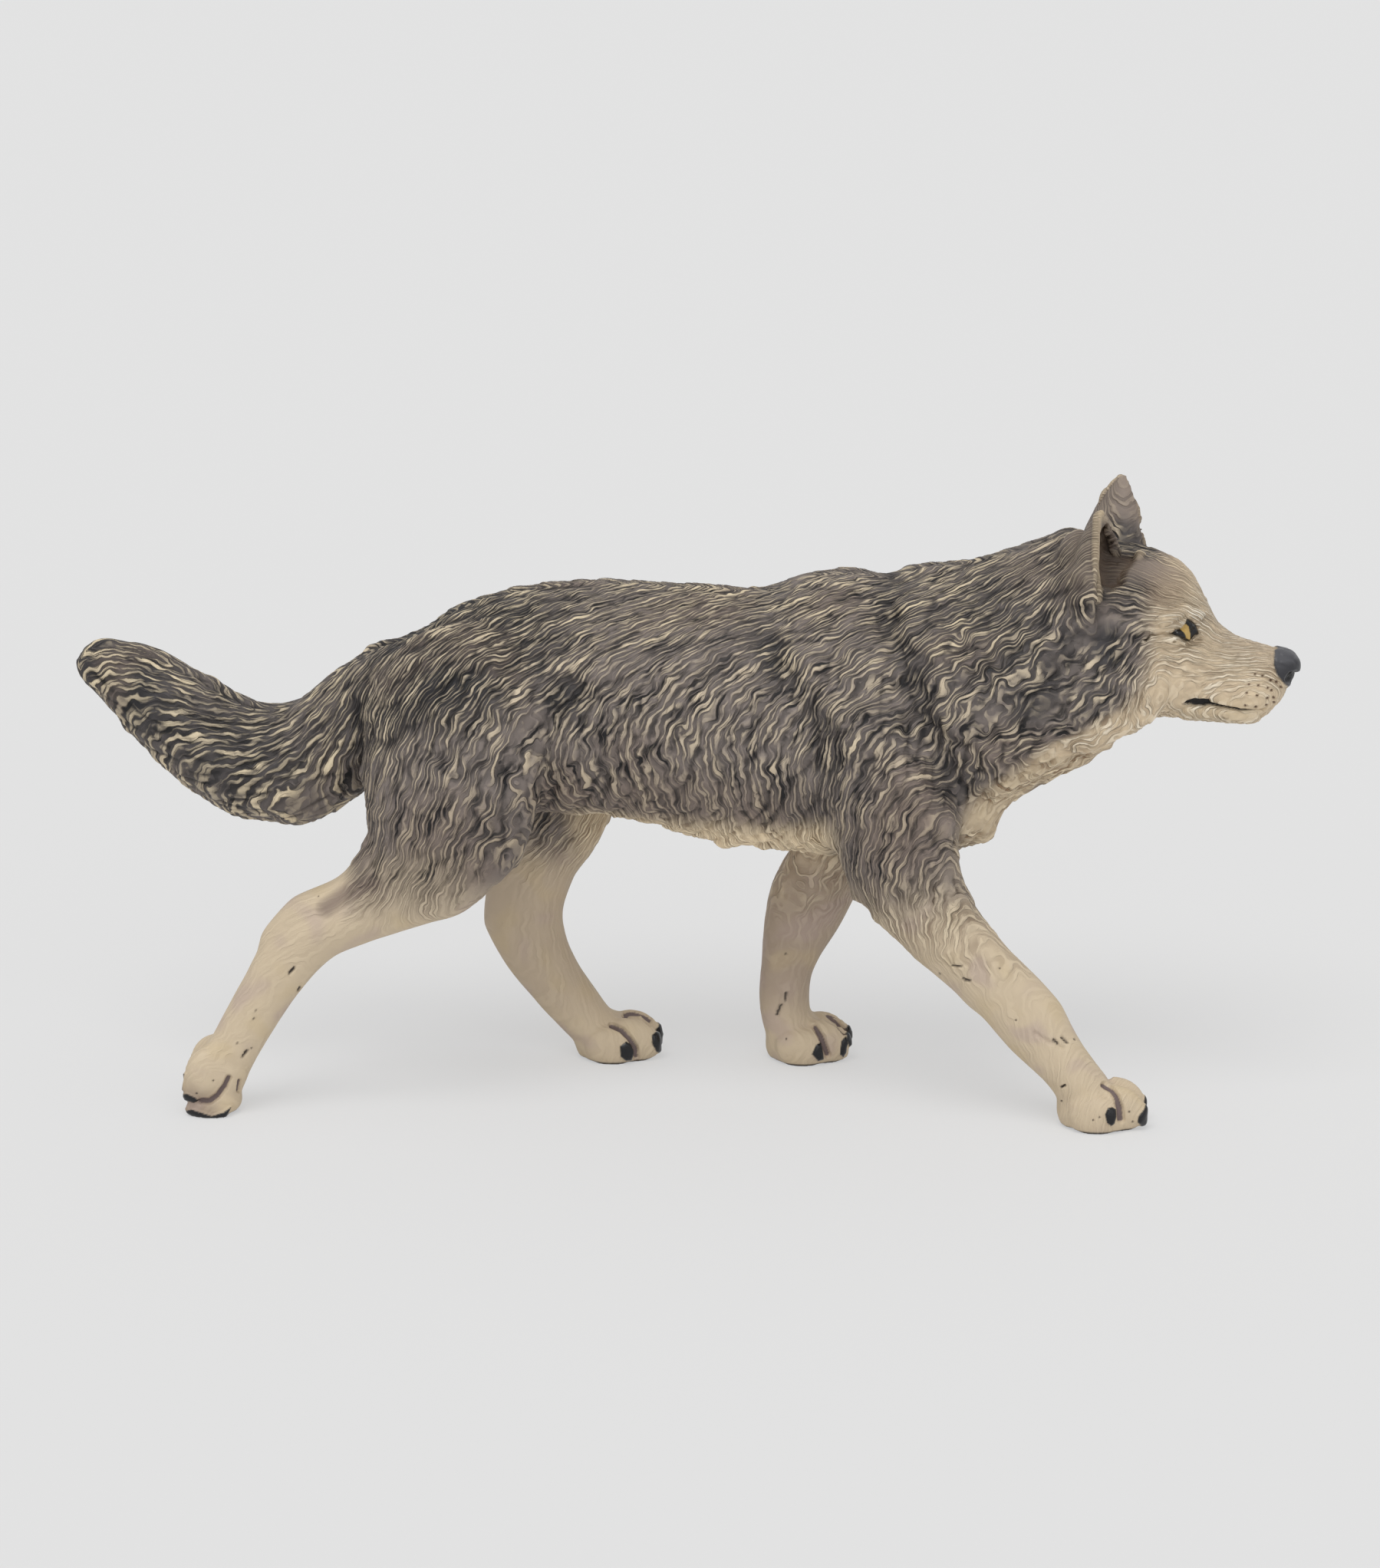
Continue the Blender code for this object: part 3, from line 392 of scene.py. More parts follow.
def facing_view():
    """Where each vertex, or its twin across its limb, is seen on the middle plane."""
    x, y, z = points.T
    low = 1.0 - ease(z, 14.0, 25.0)
    middle = np.where(y < 0, np.where(x < 0, -10.2, -9.6), np.where(x < 0, 9.6, 10.1)) * low
    twin = np.where(y > middle, 2 * middle - y, y)
    c = math.cos(HEAD_YAW)
    s = math.sin(HEAD_YAW)
    dx = x - HEAD_PIVOT.x
    dy = y - HEAD_PIVOT.y
    ahead = dx * c + dy * s
    aside = -np.abs(-dx * s + dy * c)
    head = (x > 40.0) & (z > 38.0)
    tx = np.where(head, HEAD_PIVOT.x + ahead * c - aside * s, x)
    ty = np.where(head, HEAD_PIVOT.y + ahead * s + aside * c, twin)
    eye = (aim + back * distance) / MM
    share = eye.y / (eye.y - ty)
    return eye.x + (tx - eye.x) * share, eye.z + (z - eye.z) * share


seen_x, seen_z = facing_view()
near_limb = points[:, 1] < 0
on_leg = points[:, 2] < 26.0
on_body = points[:, 2] > 26.0
on_face = (points[:, 0] > 40.0) & (points[:, 2] > 38.0)
near_leg = near_limb & on_leg
far_leg = ~near_limb & on_leg


def line_gap(places):
    """How far each vertex is seen from a broken line, and on which side of it."""
    best = np.full(count, 1e9)
    left = np.zeros(count)
    for a, b in zip(places[:-1], places[1:]):
        run_x = b[0] - a[0]
        run_z = b[1] - a[1]
        share = ((seen_x - a[0]) * run_x + (seen_z - a[1]) * run_z) / (run_x ** 2 + run_z ** 2)
        share = np.clip(share, 0.0, 1.0)
        gap_x = seen_x - a[0] - share * run_x
        gap_z = seen_z - a[1] - share * run_z
        gap = np.hypot(gap_x, gap_z)
        left = np.where(gap < best, np.sign(run_x * gap_z - run_z * gap_x), left)
        best = np.minimum(best, gap)
    return best, left


def line_share(places, width, where):
    """One on a broken line, falling to zero a half width away."""
    best = line_gap(places)[0]
    return np.clip(1.0 - (2.0 * best / width) ** 2, 0.0, 1.0) * where


def spot_share(place, width, where):
    """One at a spot, falling to zero a half width away."""
    gap = np.hypot(seen_x - place[0], seen_z - place[1])
    return np.clip(1.0 - (2.0 * gap / width) ** 2, 0.0, 1.0) * where


def patch_share(outline, soft, where):
    """One inside an outline, as seen, with an edge as wide as soft."""
    xs = [a for a, b in outline]
    zs = [b for a, b in outline]
    close = where & (seen_x > min(xs) - 1) & (seen_x < max(xs) + 1)
    close &= (seen_z > min(zs) - 1) & (seen_z < max(zs) + 1)
    picked = np.flatnonzero(close)
    px = seen_x[picked]
    pz = seen_z[picked]
    inside = np.zeros(len(picked), dtype=bool)
    best = np.full(len(picked), 1e9)
    for a, b in zip(outline, outline[1:] + outline[:1]):
        run_x = b[0] - a[0]
        run_z = b[1] - a[1]
        crossing = (a[1] > pz) != (b[1] > pz)
        inside ^= crossing & (px < a[0] + (pz - a[1]) * run_x / (run_z if run_z else 1e-9))
        share = np.clip(((px - a[0]) * run_x + (pz - a[1]) * run_z) / (run_x ** 2 + run_z ** 2), 0.0, 1.0)
        best = np.minimum(best, np.hypot(px - a[0] - share * run_x, pz - a[1] - share * run_z))
    result = np.zeros(count)
    result[picked] = ease(np.where(inside, best, -best), -0.5 * soft, 0.5 * soft)
    return result


EYE = [
    (51.6, 51.5), (52.1, 52.0), (52.9, 52.15), (53.3, 53.2), (53.7, 52.95), (54.2, 52.45), (54.5, 51.55),
    (53.9, 51.35), (53.6, 50.8), (53.0, 50.8), (52.5, 51.2),
]
IRIS = [
    (52.5, 52.15), (52.85, 52.6), (53.2, 52.55), (53.35, 51.65), (53.3, 51.1), (52.95, 51.2), (52.75, 51.75),
]
MOUTH = [
    (53.05, 43.9), (53.5, 44.25), (54.4, 44.45), (55.8, 44.4), (56.0, 44.05), (57.5, 43.75), (59.2, 43.4),
    (60.5, 43.3), (61.7, 43.5), (60.5, 43.2), (59.0, 43.15), (57.3, 43.45), (55.9, 43.65), (54.4, 43.55),
]
NOSE = [
    (62.45, 49.75), (62.8, 49.95), (64.7, 50.3), (66.5, 49.2), (66.5, 47.3), (64.9, 46.1), (63.95, 45.9),
    (63.5, 46.3), (62.7, 47.3), (62.4, 48.3),
]
NOSTRIL = [
    (63.6, 46.9), (64.0, 47.55), (64.75, 47.75), (64.95, 47.35), (64.5, 46.95), (64.0, 46.5), (63.7, 46.4),
]
WHISKERS = [
    (60.5, 47.3), (61.3, 47.15), (62.2, 46.65), (62.8, 46.45), (61.9, 45.8), (62.3, 45.55), (63.3, 45.9),
    (59.7, 45.2), (60.8, 44.95), (61.9, 44.7), (62.55, 44.75), (61.8, 43.95), (62.6, 44.25), (59.9, 46.15),
    (60.9, 46.05), (59.6, 43.85), (60.7, 43.7),
]
CLAWS = [
    (near_leg, [
        (-54.65, 0.5), (-54.45, 0.3), (-54.7, -0.4), (-54.75, -1.55), (-55.6, -1.5), (-55.6, 0.0),
    ]),
    (near_leg, [
        (-55.6, -2.3), (-54.4, -1.9), (-53.45, -2.3), (-53.0, -2.75), (-53.6, -2.95), (-54.4, -2.75),
    ]),
    (near_leg, [
        (-55.3, -4.0), (-53.8, -3.75), (-53.0, -4.05), (-51.7, -4.45), (-50.4, -4.0), (-49.6, -3.4),
        (-50.3, -4.8), (-53.3, -5.3),
    ]),
    (far_leg, [
        (-6.8, 4.45), (-6.2, 4.95), (-5.55, 4.7), (-5.3, 3.75), (-5.6, 2.9), (-6.2, 2.85), (-6.75, 3.3),
    ]),
    (far_leg, [
        (-3.4, 5.75), (-3.0, 6.1), (-1.9, 6.3), (-1.2, 4.7), (-2.2, 3.6), (-2.9, 3.9), (-3.35, 4.8),
    ]),
    (far_leg, [(14.05, 3.95), (14.45, 4.95), (15.0, 5.35), (15.15, 4.4), (15.3, 3.4), (14.7, 3.2)]),
    (far_leg, [(17.05, 4.0), (17.2, 5.5), (17.6, 6.0), (17.8, 5.2), (17.7, 4.2), (17.4, 3.7)]),
    (far_leg, [(17.75, 6.6), (19.0, 6.3), (19.0, 4.9), (17.95, 4.9), (17.65, 5.65)]),
    (near_leg, [
        (45.9, -2.4), (46.15, -1.75), (46.6, -1.6), (47.0, -1.85), (47.1, -2.65), (46.9, -3.45),
        (46.6, -3.7), (46.15, -3.4),
    ]),
    (near_leg, [
        (50.25, -0.9), (51.6, -0.9), (51.6, -3.8), (49.8, -3.6), (49.4, -3.2), (49.5, -2.5), (50.0, -1.8),
    ]),
]
EAR_HOLLOW = [
    (43.95, 62.3), (44.6, 63.1), (45.6, 63.0), (47.0, 62.3), (47.65, 61.2), (47.55, 59.5), (46.6, 58.4),
    (46.3, 56.9), (45.2, 56.3), (44.2, 56.5), (43.9, 58.6),
]
EAR_RIM = [(44.3, 65.2), (43.5, 64.2), (43.45, 61.8), (43.45, 59.7), (43.7, 57.6), (43.7, 55.2)]
EAR_FRONT = [(45.2, 65.0), (45.9, 63.9), (47.2, 62.9), (48.0, 61.5), (48.0, 59.9)]
TOE_GROOVES = [
    (near_leg, 0.55, [(-49.7, -0.1), (-50.2, -1.15), (-51.0, -2.15), (-51.9, -2.8), (-52.9, -2.85)]),
    (near_leg, 0.35, [(-48.5, -0.4), (-48.65, -1.55)]),
    (far_leg, 0.5, [(-7.7, 6.85), (-6.6, 6.35), (-5.7, 5.35), (-5.1, 4.2), (-5.0, 3.15)]),
    (far_leg, 0.25, [(-6.4, 7.9), (-4.5, 7.7), (-3.5, 6.95)]),
    (far_leg, 0.5, [(14.35, 7.05), (15.05, 5.95), (15.45, 4.85), (15.8, 3.85)]),
    (far_leg, 0.25, [(14.8, 8.45), (16.75, 7.3), (17.6, 6.3)]),
    (near_leg, 0.6, [(45.8, 0.95), (46.55, 0.4), (47.1, -0.4), (47.55, -1.75), (47.7, -3.05)]),
]
SLOTS = [
    (near_leg, (-47.6, 3.2), (-48.1, 2.45)), (near_leg, (-41.6, 10.5), (-41.8, 10.2)),
    (near_leg, (-42.2, 12.8), (-42.8, 12.1)), (near_leg, (41.05, 6.35), (41.65, 5.7)),
    (near_leg, (40.15, 6.05), (40.65, 5.6)), (near_leg, (30.35, 12.8), (31.0, 12.55)),
    (near_leg, (29.15, 14.3), (30.0, 14.15)), (near_leg, (41.15, 0.6), (41.5, 0.8)),
    (far_leg, (10.65, 9.45), (10.2, 8.4)), (far_leg, (11.25, 10.9), (11.1, 10.05)),
]
PITS = [
    (near_leg, [
        (-51.4, -0.4), (-53.3, -1.95), (-47.05, 3.4), (-46.55, 7.9), (-46.8, 6.8), (-48.6, 3.95),
        (-39.4, 21.0), (41.15, -1.0), (34.2, 14.1), (36.05, 8.15), (45.35, -2.8), (48.55, -2.1),
        (48.95, -3.25), (44.65, -3.15), (42.45, 6.15), (27.8, 13.35),
    ]),
    (far_leg, [(11.2, 15.35), (11.65, 21.4), (11.25, 5.6)]),
]

carved = np.zeros(count)
eye_black = patch_share(EYE, 0.14, on_face)
carved += 0.28 * patch_share(EYE, 1.0, on_face) - 0.3 * line_share(EYE + EYE[:1], 0.45, on_face)
carved += 0.45 * line_share([(50.5, 52.9), (51.8, 53.5), (53.0, 54.2), (54.4, 53.7)], 1.3, on_face)
carved -= 0.4 * line_share([(51.55, 51.4), (50.6, 51.5), (49.4, 51.4), (49.0, 50.9)], 0.7, on_face)
carved -= 0.25 * line_share([(52.0, 50.6), (53.2, 50.2), (54.6, 50.9)], 0.8, on_face)
mouth_black = patch_share(MOUTH, 0.14, on_face)
carved -= 0.6 * patch_share(MOUTH, 0.4, on_face)
carved += 0.3 * line_share([(53.5, 42.7), (56.5, 42.7), (60.5, 42.4)], 1.6, on_face)
nose_black = patch_share(NOSE, 0.16, on_face)
carved += 0.28 * patch_share(NOSE, 0.5, on_face)
nostril_dark = patch_share(NOSTRIL, 0.2, on_face)
carved -= 0.6 * patch_share(NOSTRIL, 0.4, on_face)
whisker_dark = np.zeros(count)
for place in WHISKERS:
    whisker_dark = np.maximum(whisker_dark, spot_share(place, 0.44, on_face))
carved -= 0.16 * whisker_dark
claw_black = np.zeros(count)
for where, outline in CLAWS:
    claw_black = np.maximum(claw_black, patch_share(outline, 0.14, where))
    carved += 0.3 * patch_share(outline, 0.5, where)
ear_side = on_face & (points[:, 2] > 54.0) & (np.abs(points[:, 1]) > 2.0)
ear_side &= normals[:, 1] * np.sign(points[:, 1]) > -0.2
ear_hollow = patch_share(EAR_HOLLOW, 0.9, ear_side)
ear_rim = line_share(EAR_RIM, 1.0, ear_side)
ear_front = line_share(EAR_FRONT, 1.1, ear_side)
carved += 0.3 * ear_rim + 0.3 * ear_front - 0.9 * ear_hollow
toe_dark = np.zeros(count)
for where, width, places in TOE_GROOVES:
    toe_dark = np.maximum(toe_dark, ease(line_share(places, width, where), 0.05, 0.6))
    carved -= 0.42 * line_share(places, width * 1.6, where)
pit_dark = np.zeros(count)
for where, a, b in SLOTS:
    groove = line_share([a, b], 0.34, where)
    pit_dark = np.maximum(pit_dark, groove)
    carved -= 0.25 * groove
for where, places in PITS:
    for place in places:
        groove = spot_share(place, 0.3, where)
        pit_dark = np.maximum(pit_dark, 0.8 * groove)
        carved -= 0.12 * groove
carved -= 0.2 * line_share([(38.15, 6.8), (39.1, 6.1), (40.3, 5.5), (41.2, 5.1)], 0.5, near_leg)

# Painted shade in the gutters under the edges of the thick tufts, each tuft on the left of its line.
FOLDS = [
    [
        (22.9, 56.3), (22.3, 55.3), (22.8, 52.3), (23.8, 49.8), (26.0, 47.9), (26.7, 45.4), (27.5, 42.3),
        (29.1, 39.5), (31.0, 38.2),
    ],
    [
        (7.4, 51.0), (10.1, 49.9), (11.4, 48.4), (13.3, 44.9), (15.5, 42.7), (17.7, 39.4), (17.7, 36.5),
        (16.6, 32.5),
    ],
    [(33.3, 43.0), (36.5, 45.2), (38.9, 48.1), (40.9, 51.2), (41.6, 55.6)],
    [(-13.4, 41.0), (-14.3, 41.3), (-15.1, 42.7), (-18.0, 43.2)],
]
ragged = 0.7 * np.sin(1.72 * seen_z + 0.61 * seen_x) + 0.45 * np.sin(3.44 * seen_z - 1.92 * seen_x)
shaded = np.zeros(count)
for places in FOLDS:
    best, left = line_gap(places)
    ends = np.minimum(
        np.hypot(seen_x - places[0][0], seen_z - places[0][1]),
        np.hypot(seen_x - places[-1][0], seen_z - places[-1][1]),
    )
    over = best * left + ragged
    gutter = np.exp(-np.abs(over) / 0.8) * (1.0 - ease(over, -0.3, 0.3))
    shaded = np.maximum(shaded, gutter * ease(ends, 0.0, 3.5) * on_body)
points = points + normals * carved[:, None]
normals = normals_of(points)


# Coat: fur carved as thick overlapping locks, with thin wavy strands side by side over them.
# The lie of the fur is drawn as a side view, and two maps count the strands across it and the
# millimetres along it.

LAY = [
    (63, 49, 178), (58, 50, 205), (55, 53, 165), (53, 57, 145), (50, 60, 155), (55, 47, 228), (60, 46, 200),
    (50, 48, 262), (47, 52, 225), (46, 46, 245), (52, 43, 215), (50, 52, 185), (58, 43, 190), (46, 41, 225),
    (45, 60, 165), (39, 60, 205), (41, 52, 232), (34, 56, 228), (33, 48, 252),
    (28, 56, 218), (27, 47, 255), (34, 40, 245), (40, 40, 222), (30, 33, 250),
    (18, 57, 192), (18, 49, 240), (22, 42, 266), (20, 32, 272), (26, 26, 292),
    (8, 55, 192), (6, 48, 238), (8, 40, 256), (6, 31, 225), (0, 29, 200),
    (-8, 55, 198), (-8, 47, 240), (-8, 38, 258), (-20, 54, 208), (-20, 46, 244),
    (-20, 36, 264), (-29, 50, 224), (-28, 42, 258), (-31, 35, 268), (-25, 27, 242),
    (-16, 28, 252), (-33, 46, 230), (-38, 40, 212), (-43, 36, 186), (-49, 37, 165),
    (-55, 42, 150), (-62, 46, 162), (-40, 21, 210), (-46, 12, 240), (33, 18, 312),
    (12, 18, 268), (-17, 14, 292),
]
# Curl of the coat: middle x, z, reach along and across, turn of the waves.
CURL = [
    (31, 49, 12, 11, 0.95), (18, 50, 8, 8, 0.55), (0, 44, 18, 10, 0.45), (-20, 52, 16, 6, 0.5),
    (-24, 36, 10, 12, 0.8), (24, 34, 8, 8, 0.5), (48, 50, 7, 9, 0.45), (12, 18, 8, 9, 0.8),
    (30, 16, 9, 9, 0.5), (40, 40, 12, 5, 0.9), (0, 29, 18, 3, 0.8),
]
# Strand spacing in millimetres: middle x, z, reach along and across, spacing.
SPACING = [
    (36, 48, 16, 14, 0.98), (-48, 39, 16, 9, 1.0), (57, 49, 10.5, 9.5, 0.5), (41, 38, 12, 5, 0.75),
    (0, 29, 18, 3, 0.8), (44, 60, 6, 6, 0.6),
]
MAP_STEP = 0.25
map_x = np.arange(-70.0, 70.0, MAP_STEP)
map_z = np.arange(-3.0, 72.0, MAP_STEP)
spots = np.stack(np.meshgrid(map_x, map_z, indexing="ij"), axis=-1).reshape(-1, 2)
pull_total = np.zeros((len(spots), 2))
for mx, mz, angle in LAY:
    pull = 1.0 / ((spots[:, 0] - mx) ** 2 + (spots[:, 1] - mz) ** 2 + 1.0) ** 1.7
    pull_total[:, 0] += pull * math.cos(math.radians(angle))
    pull_total[:, 1] += pull * math.sin(math.radians(angle))
lie = np.arctan2(pull_total[:, 1], pull_total[:, 0])
curl = np.full(len(spots), 0.16)
for cx, cz, along, athwart, amount in CURL:
    inside = np.exp(-((spots[:, 0] - cx) / along) ** 2 - ((spots[:, 1] - cz) / athwart) ** 2)
    curl = np.maximum(curl, amount * inside)
broad_waves = np.array([noise.noise(Vector((a * 0.16, 3.0, b * 0.16))) for a, b in spots])
tight_waves = np.array([noise.noise(Vector((a * 0.42, 8.0, b * 0.42))) for a, b in spots])
swing = curl * (1.5 * broad_waves + 2.2 * tight_waves)
spacing = np.full(len(spots), 0.9)
for cx, cz, along, athwart, wide in SPACING:
    inside = np.exp(-((spots[:, 0] - cx) / along) ** 4 - ((spots[:, 1] - cz) / athwart) ** 4)
    spacing += (wide - spacing) * inside
grid = (len(map_x), len(map_z))
wave_x = 2.0 * np.cos(np.pi * np.arange(2 * grid[0]) / grid[0])
wave_z = 2.0 * np.cos(np.pi * np.arange(2 * grid[1]) / grid[1])
bending = wave_x[:, None] + wave_z[None, :] - 4.0
bending[0, 0] = 1.0


def counted(way_x, way_z, often):
    """Map that rises along the given ways, near to the wanted steepness everywhere."""
    steep = often.copy()
    for _ in range(4):
        flow_out = np.zeros(grid)
        step_x = 0.5 * MAP_STEP * (steep[1:] * way_x[1:] + steep[:-1] * way_x[:-1])
        step_z = 0.5 * MAP_STEP * (steep[:, 1:] * way_z[:, 1:] + steep[:, :-1] * way_z[:, :-1])
        flow_out[:-1] += step_x
        flow_out[1:] -= step_x
        flow_out[:, :-1] += step_z
        flow_out[:, 1:] -= step_z
        mirrored = np.concatenate([flow_out, flow_out[::-1]])
        mirrored = np.concatenate([mirrored, mirrored[:, ::-1]], axis=1)
        level = np.real(np.fft.ifft2(np.fft.fft2(mirrored) / bending))[:grid[0], :grid[1]]
        rise_x, rise_z = np.gradient(level, MAP_STEP)
        steep = way_x * rise_x + way_z * rise_z
        steep = np.clip(steep, 0.75 * often, 1.35 * often)
    return level


gentle_lie = (lie + 0.55 * swing).reshape(grid)
strand_map = counted(-np.sin(gentle_lie), np.cos(gentle_lie), (1.0 / spacing).reshape(grid))
length_map = counted(np.cos(gentle_lie), np.sin(gentle_lie), np.ones(grid))


def on_map(values):
    """Value of a side-view map at each vertex."""
    column = (points[:, 0] - map_x[0]) / MAP_STEP
    row = (points[:, 2] - map_z[0]) / MAP_STEP
    i = np.clip(column.astype(np.int64), 0, grid[0] - 2)
    j = np.clip(row.astype(np.int64), 0, grid[1] - 2)
    a = column - i
    b = row - j
    square = values.reshape(grid)
    low_row = square[i, j] * (1.0 - a) + square[i + 1, j] * a
    high_row = square[i, j + 1] * (1.0 - a) + square[i + 1, j + 1] * a
    return low_row * (1.0 - b) + high_row * b


def unevenness(seed, cell):
    """Chance value at each vertex, smooth between cells of the given size."""
    block = np.random.default_rng(seed).standard_normal(96 ** 3).astype(np.float32)
    first = np.floor(points / cell).astype(np.int64)
    share = (points / cell - first).astype(np.float32)
    share = share * share * (3.0 - 2.0 * share)
    corners = (first % 96, (first + 1) % 96)
    weights = (1.0 - share, share)
    total = np.zeros(count, dtype=np.float32)
    for i in (0, 1):
        for j in (0, 1):
            for k in (0, 1):
                spot = (corners[i][:, 0] * 96 + corners[j][:, 1]) * 96 + corners[k][:, 2]
                total += weights[i][:, 0] * weights[j][:, 1] * weights[k][:, 2] * block[spot]
    return total


x, y, z = points.T
face = ease(x, 47.5, 51.0)
tail = ease(-x, 33.0, 37.0) * ease(z, 27.5, 30.0)
low_leg = np.where(x > 0, 1.0 - ease(z, 14.0, 27.0), 1.0 - ease(z, 20.0, 28.0))
low_leg = np.maximum(low_leg, ease(-x, 33.0, 36.0) * (1.0 - ease(z, 27.0, 29.0)))
beside_crown = ease(x, 39.5, 41.5) * (1.0 - ease(x, 48.5, 50.0))
ears_up = ease(z, 57.5, 60.0) * beside_crown * ease(np.abs(y), 3.0, 4.5)
depth = (1.0 - low_leg) * (1.0 - 0.7 * face) * (1.0 - 0.85 * ears_up)
under = (1.0 - ease(normals[:, 2], -0.7, -0.1)) * ease(z, 26.0, 28.0)
lock_length = 4.2 + 3.0 * tail - 2.2 * face - 1.0 * under
lock_width = 2.1 - 0.3 * tail - 0.9 * face - 0.5 * under


def lay_locks(seed, spacing):
    """Height of the highest lock over each vertex, each root clear of its neighbours."""
    rng = random.Random(seed)
    open_to_roots = depth > 0.08
    roots = []
    for i in np.random.default_rng(seed).permutation(count):
        if open_to_roots[i]:
            roots.append(i)
            for _, j, _ in tree.find_range(points[i], spacing * lock_width[i]):
                open_to_roots[j] = False
    raised = np.zeros(count)
    for root in roots:
        along = flow[root]
        up = normals[root]
        cross = np.cross(up, along)
        scale = 0.7 + 0.6 * rng.random()
        length = lock_length[root] * scale
        width = lock_width[root] * (0.75 + 0.5 * rng.random())
        bend = (rng.random() - 0.5) * 2.4
        near = tree.find_range(points[root] + along * length * 0.48, length * 0.56)
        index = np.array([n[1] for n in near], dtype=np.int64)
        if len(index) == 0:
            continue
        gap = points[index] - points[root]
        s = gap @ along / length
        t = (gap @ cross) / (0.5 * width) - bend * s * s
        t = t / np.clip(np.minimum(0.55 + 1.6 * s, 1.12 - 0.85 * s ** 2), 0.15, 1.0)
        facing = np.clip((normals[index] @ up - 0.1) / 0.5, 0.0, 1.0)
        body = np.clip(1.0 - t * t, 0.0, 1.0) ** 0.7
        climb = (0.25 + 0.75 * np.clip(s, 0.0, 1.0) ** 0.8) * ease(s, -0.06, 0.1)
        climb *= 1.0 - ease(s, 0.78, 1.0)
        raised[index] = np.maximum(raised[index], scale * body * climb * facing)
    return raised


tree = kdtree.KDTree(count)
for i, p in enumerate(points):
    tree.insert(p, i)
tree.balance()
column = np.clip(((x - map_x[0]) / MAP_STEP).astype(np.int64), 0, grid[0] - 1)
row = np.clip(((z - map_z[0]) / MAP_STEP).astype(np.int64), 0, grid[1] - 1)
here = (lie + swing)[column * grid[1] + row]
flow = np.stack([np.cos(here), np.zeros(count), np.sin(here)], axis=1)
flow -= normals * (flow * normals).sum(axis=1)[:, None]
flow /= np.maximum(np.linalg.norm(flow, axis=1), 0.05)[:, None]
locks = lay_locks(5, 0.7)

space = on_map(spacing)
strand = on_map(strand_map) + np.abs(y) / space + 0.5 * on_map(curl) * unevenness(21, 1.4)
way_along = on_map(length_map) + 0.35 * np.abs(y)
# Strands that run out of room, where the side view turns over an edge, fade into the lock.
ends_a, ends_b = edges.T
rate = np.abs(strand[ends_a] - strand[ends_b]) / np.linalg.norm(points[ends_a] - points[ends_b], axis=1)
rate = (np.bincount(ends_a, rate, count) + np.bincount(ends_b, rate, count)) / neighbours * space
steady = ease(rate, 0.1, 0.4)
steady = ease(blurred(steady[:, None], 10)[:, 0], 0.2, 0.7)
fold_over = np.mod(strand, 1.0)
ridges = ease(fold_over, 0.0, 0.5) * (1.0 - ease(fold_over, 0.5, 1.0))
plain = np.clip(nose_black + eye_black + mouth_black + claw_black, 0.0, 1.0)
on_ear = ease(z, 54.5, 56.5) * beside_crown * ease(np.abs(y), 2.5, 4.0)
ridge_height = 0.1 * (1.0 - low_leg) * (1.0 - 0.6 * face) * (1.0 - on_ear)
lock_height = 0.32 * depth * (1.0 + 0.2 * tail + 0.5 * under)
relief = lock_height * locks + ridge_height * steady * (ridges - 0.5) * (1.0 - plain)
relief *= 1.0 - 0.6 * toe_dark
points = points + normals * relief[:, None]
points[:, 2] = np.maximum(points[:, 2], 0.0)
points[hanging_at] = points[hanging_ends].mean(axis=1)
normals = normals_of(points)
proud = ((points - blurred(points, 24)) * normals).sum(axis=1)
proud = np.clip(proud / proud.std(), -2.5, 2.5)


# Paint: matt tones sprayed on by zone over the grey vinyl, a dark wash that settles in the
# furrows and is laid on there also as painted shade, and pale paint brushed nearly dry over the
# crests. Nose, eyes and claws are touched in by hand with a glossier paint. Painted shade also
# darkens the hollows, the fold gutters, the far legs and the near hind paw; the nose has a painted
# highlight.

def tone(red, green, blue):
    """Paint tone as seen on a screen."""
    return np.array(shade(red, green, blue))


GREY = tone(126, 116, 110)
CHARCOAL = tone(50, 48, 51)
TAUPE = tone(132, 116, 105)
CREAM = tone(206, 187, 156)
TAN = tone(212, 192, 162)
LEG = tone(198, 181, 155)
LEG_PAINTED_SHADE = tone(160, 143, 128)
x, y, z = points.T
wander = np.array([noise.noise(Vector(p) * 0.11 + Vector((3, 1, 7))) for p in points])
mottle = np.array([noise.noise(Vector(p) * 0.33 + Vector((5, 2, 9))) for p in points])
base = np.tile(GREY, (count, 1))
crest = np.tile(tone(208, 192, 166), (count, 1))
# Dark wash layer, which also carries the painted shade in the furrows.
wash_and_shade = np.tile(tone(24, 22, 24), (count, 1))
brush = 0.35 + 0.65 * steady
wash_and_shade_amount = brush.copy()


def paint(layer, colour, amount):
    """Lay a tone over a layer by a share from zero to one."""
    share = np.clip(amount, 0.0, 1.0)[:, None]
    layer += (colour - layer) * share


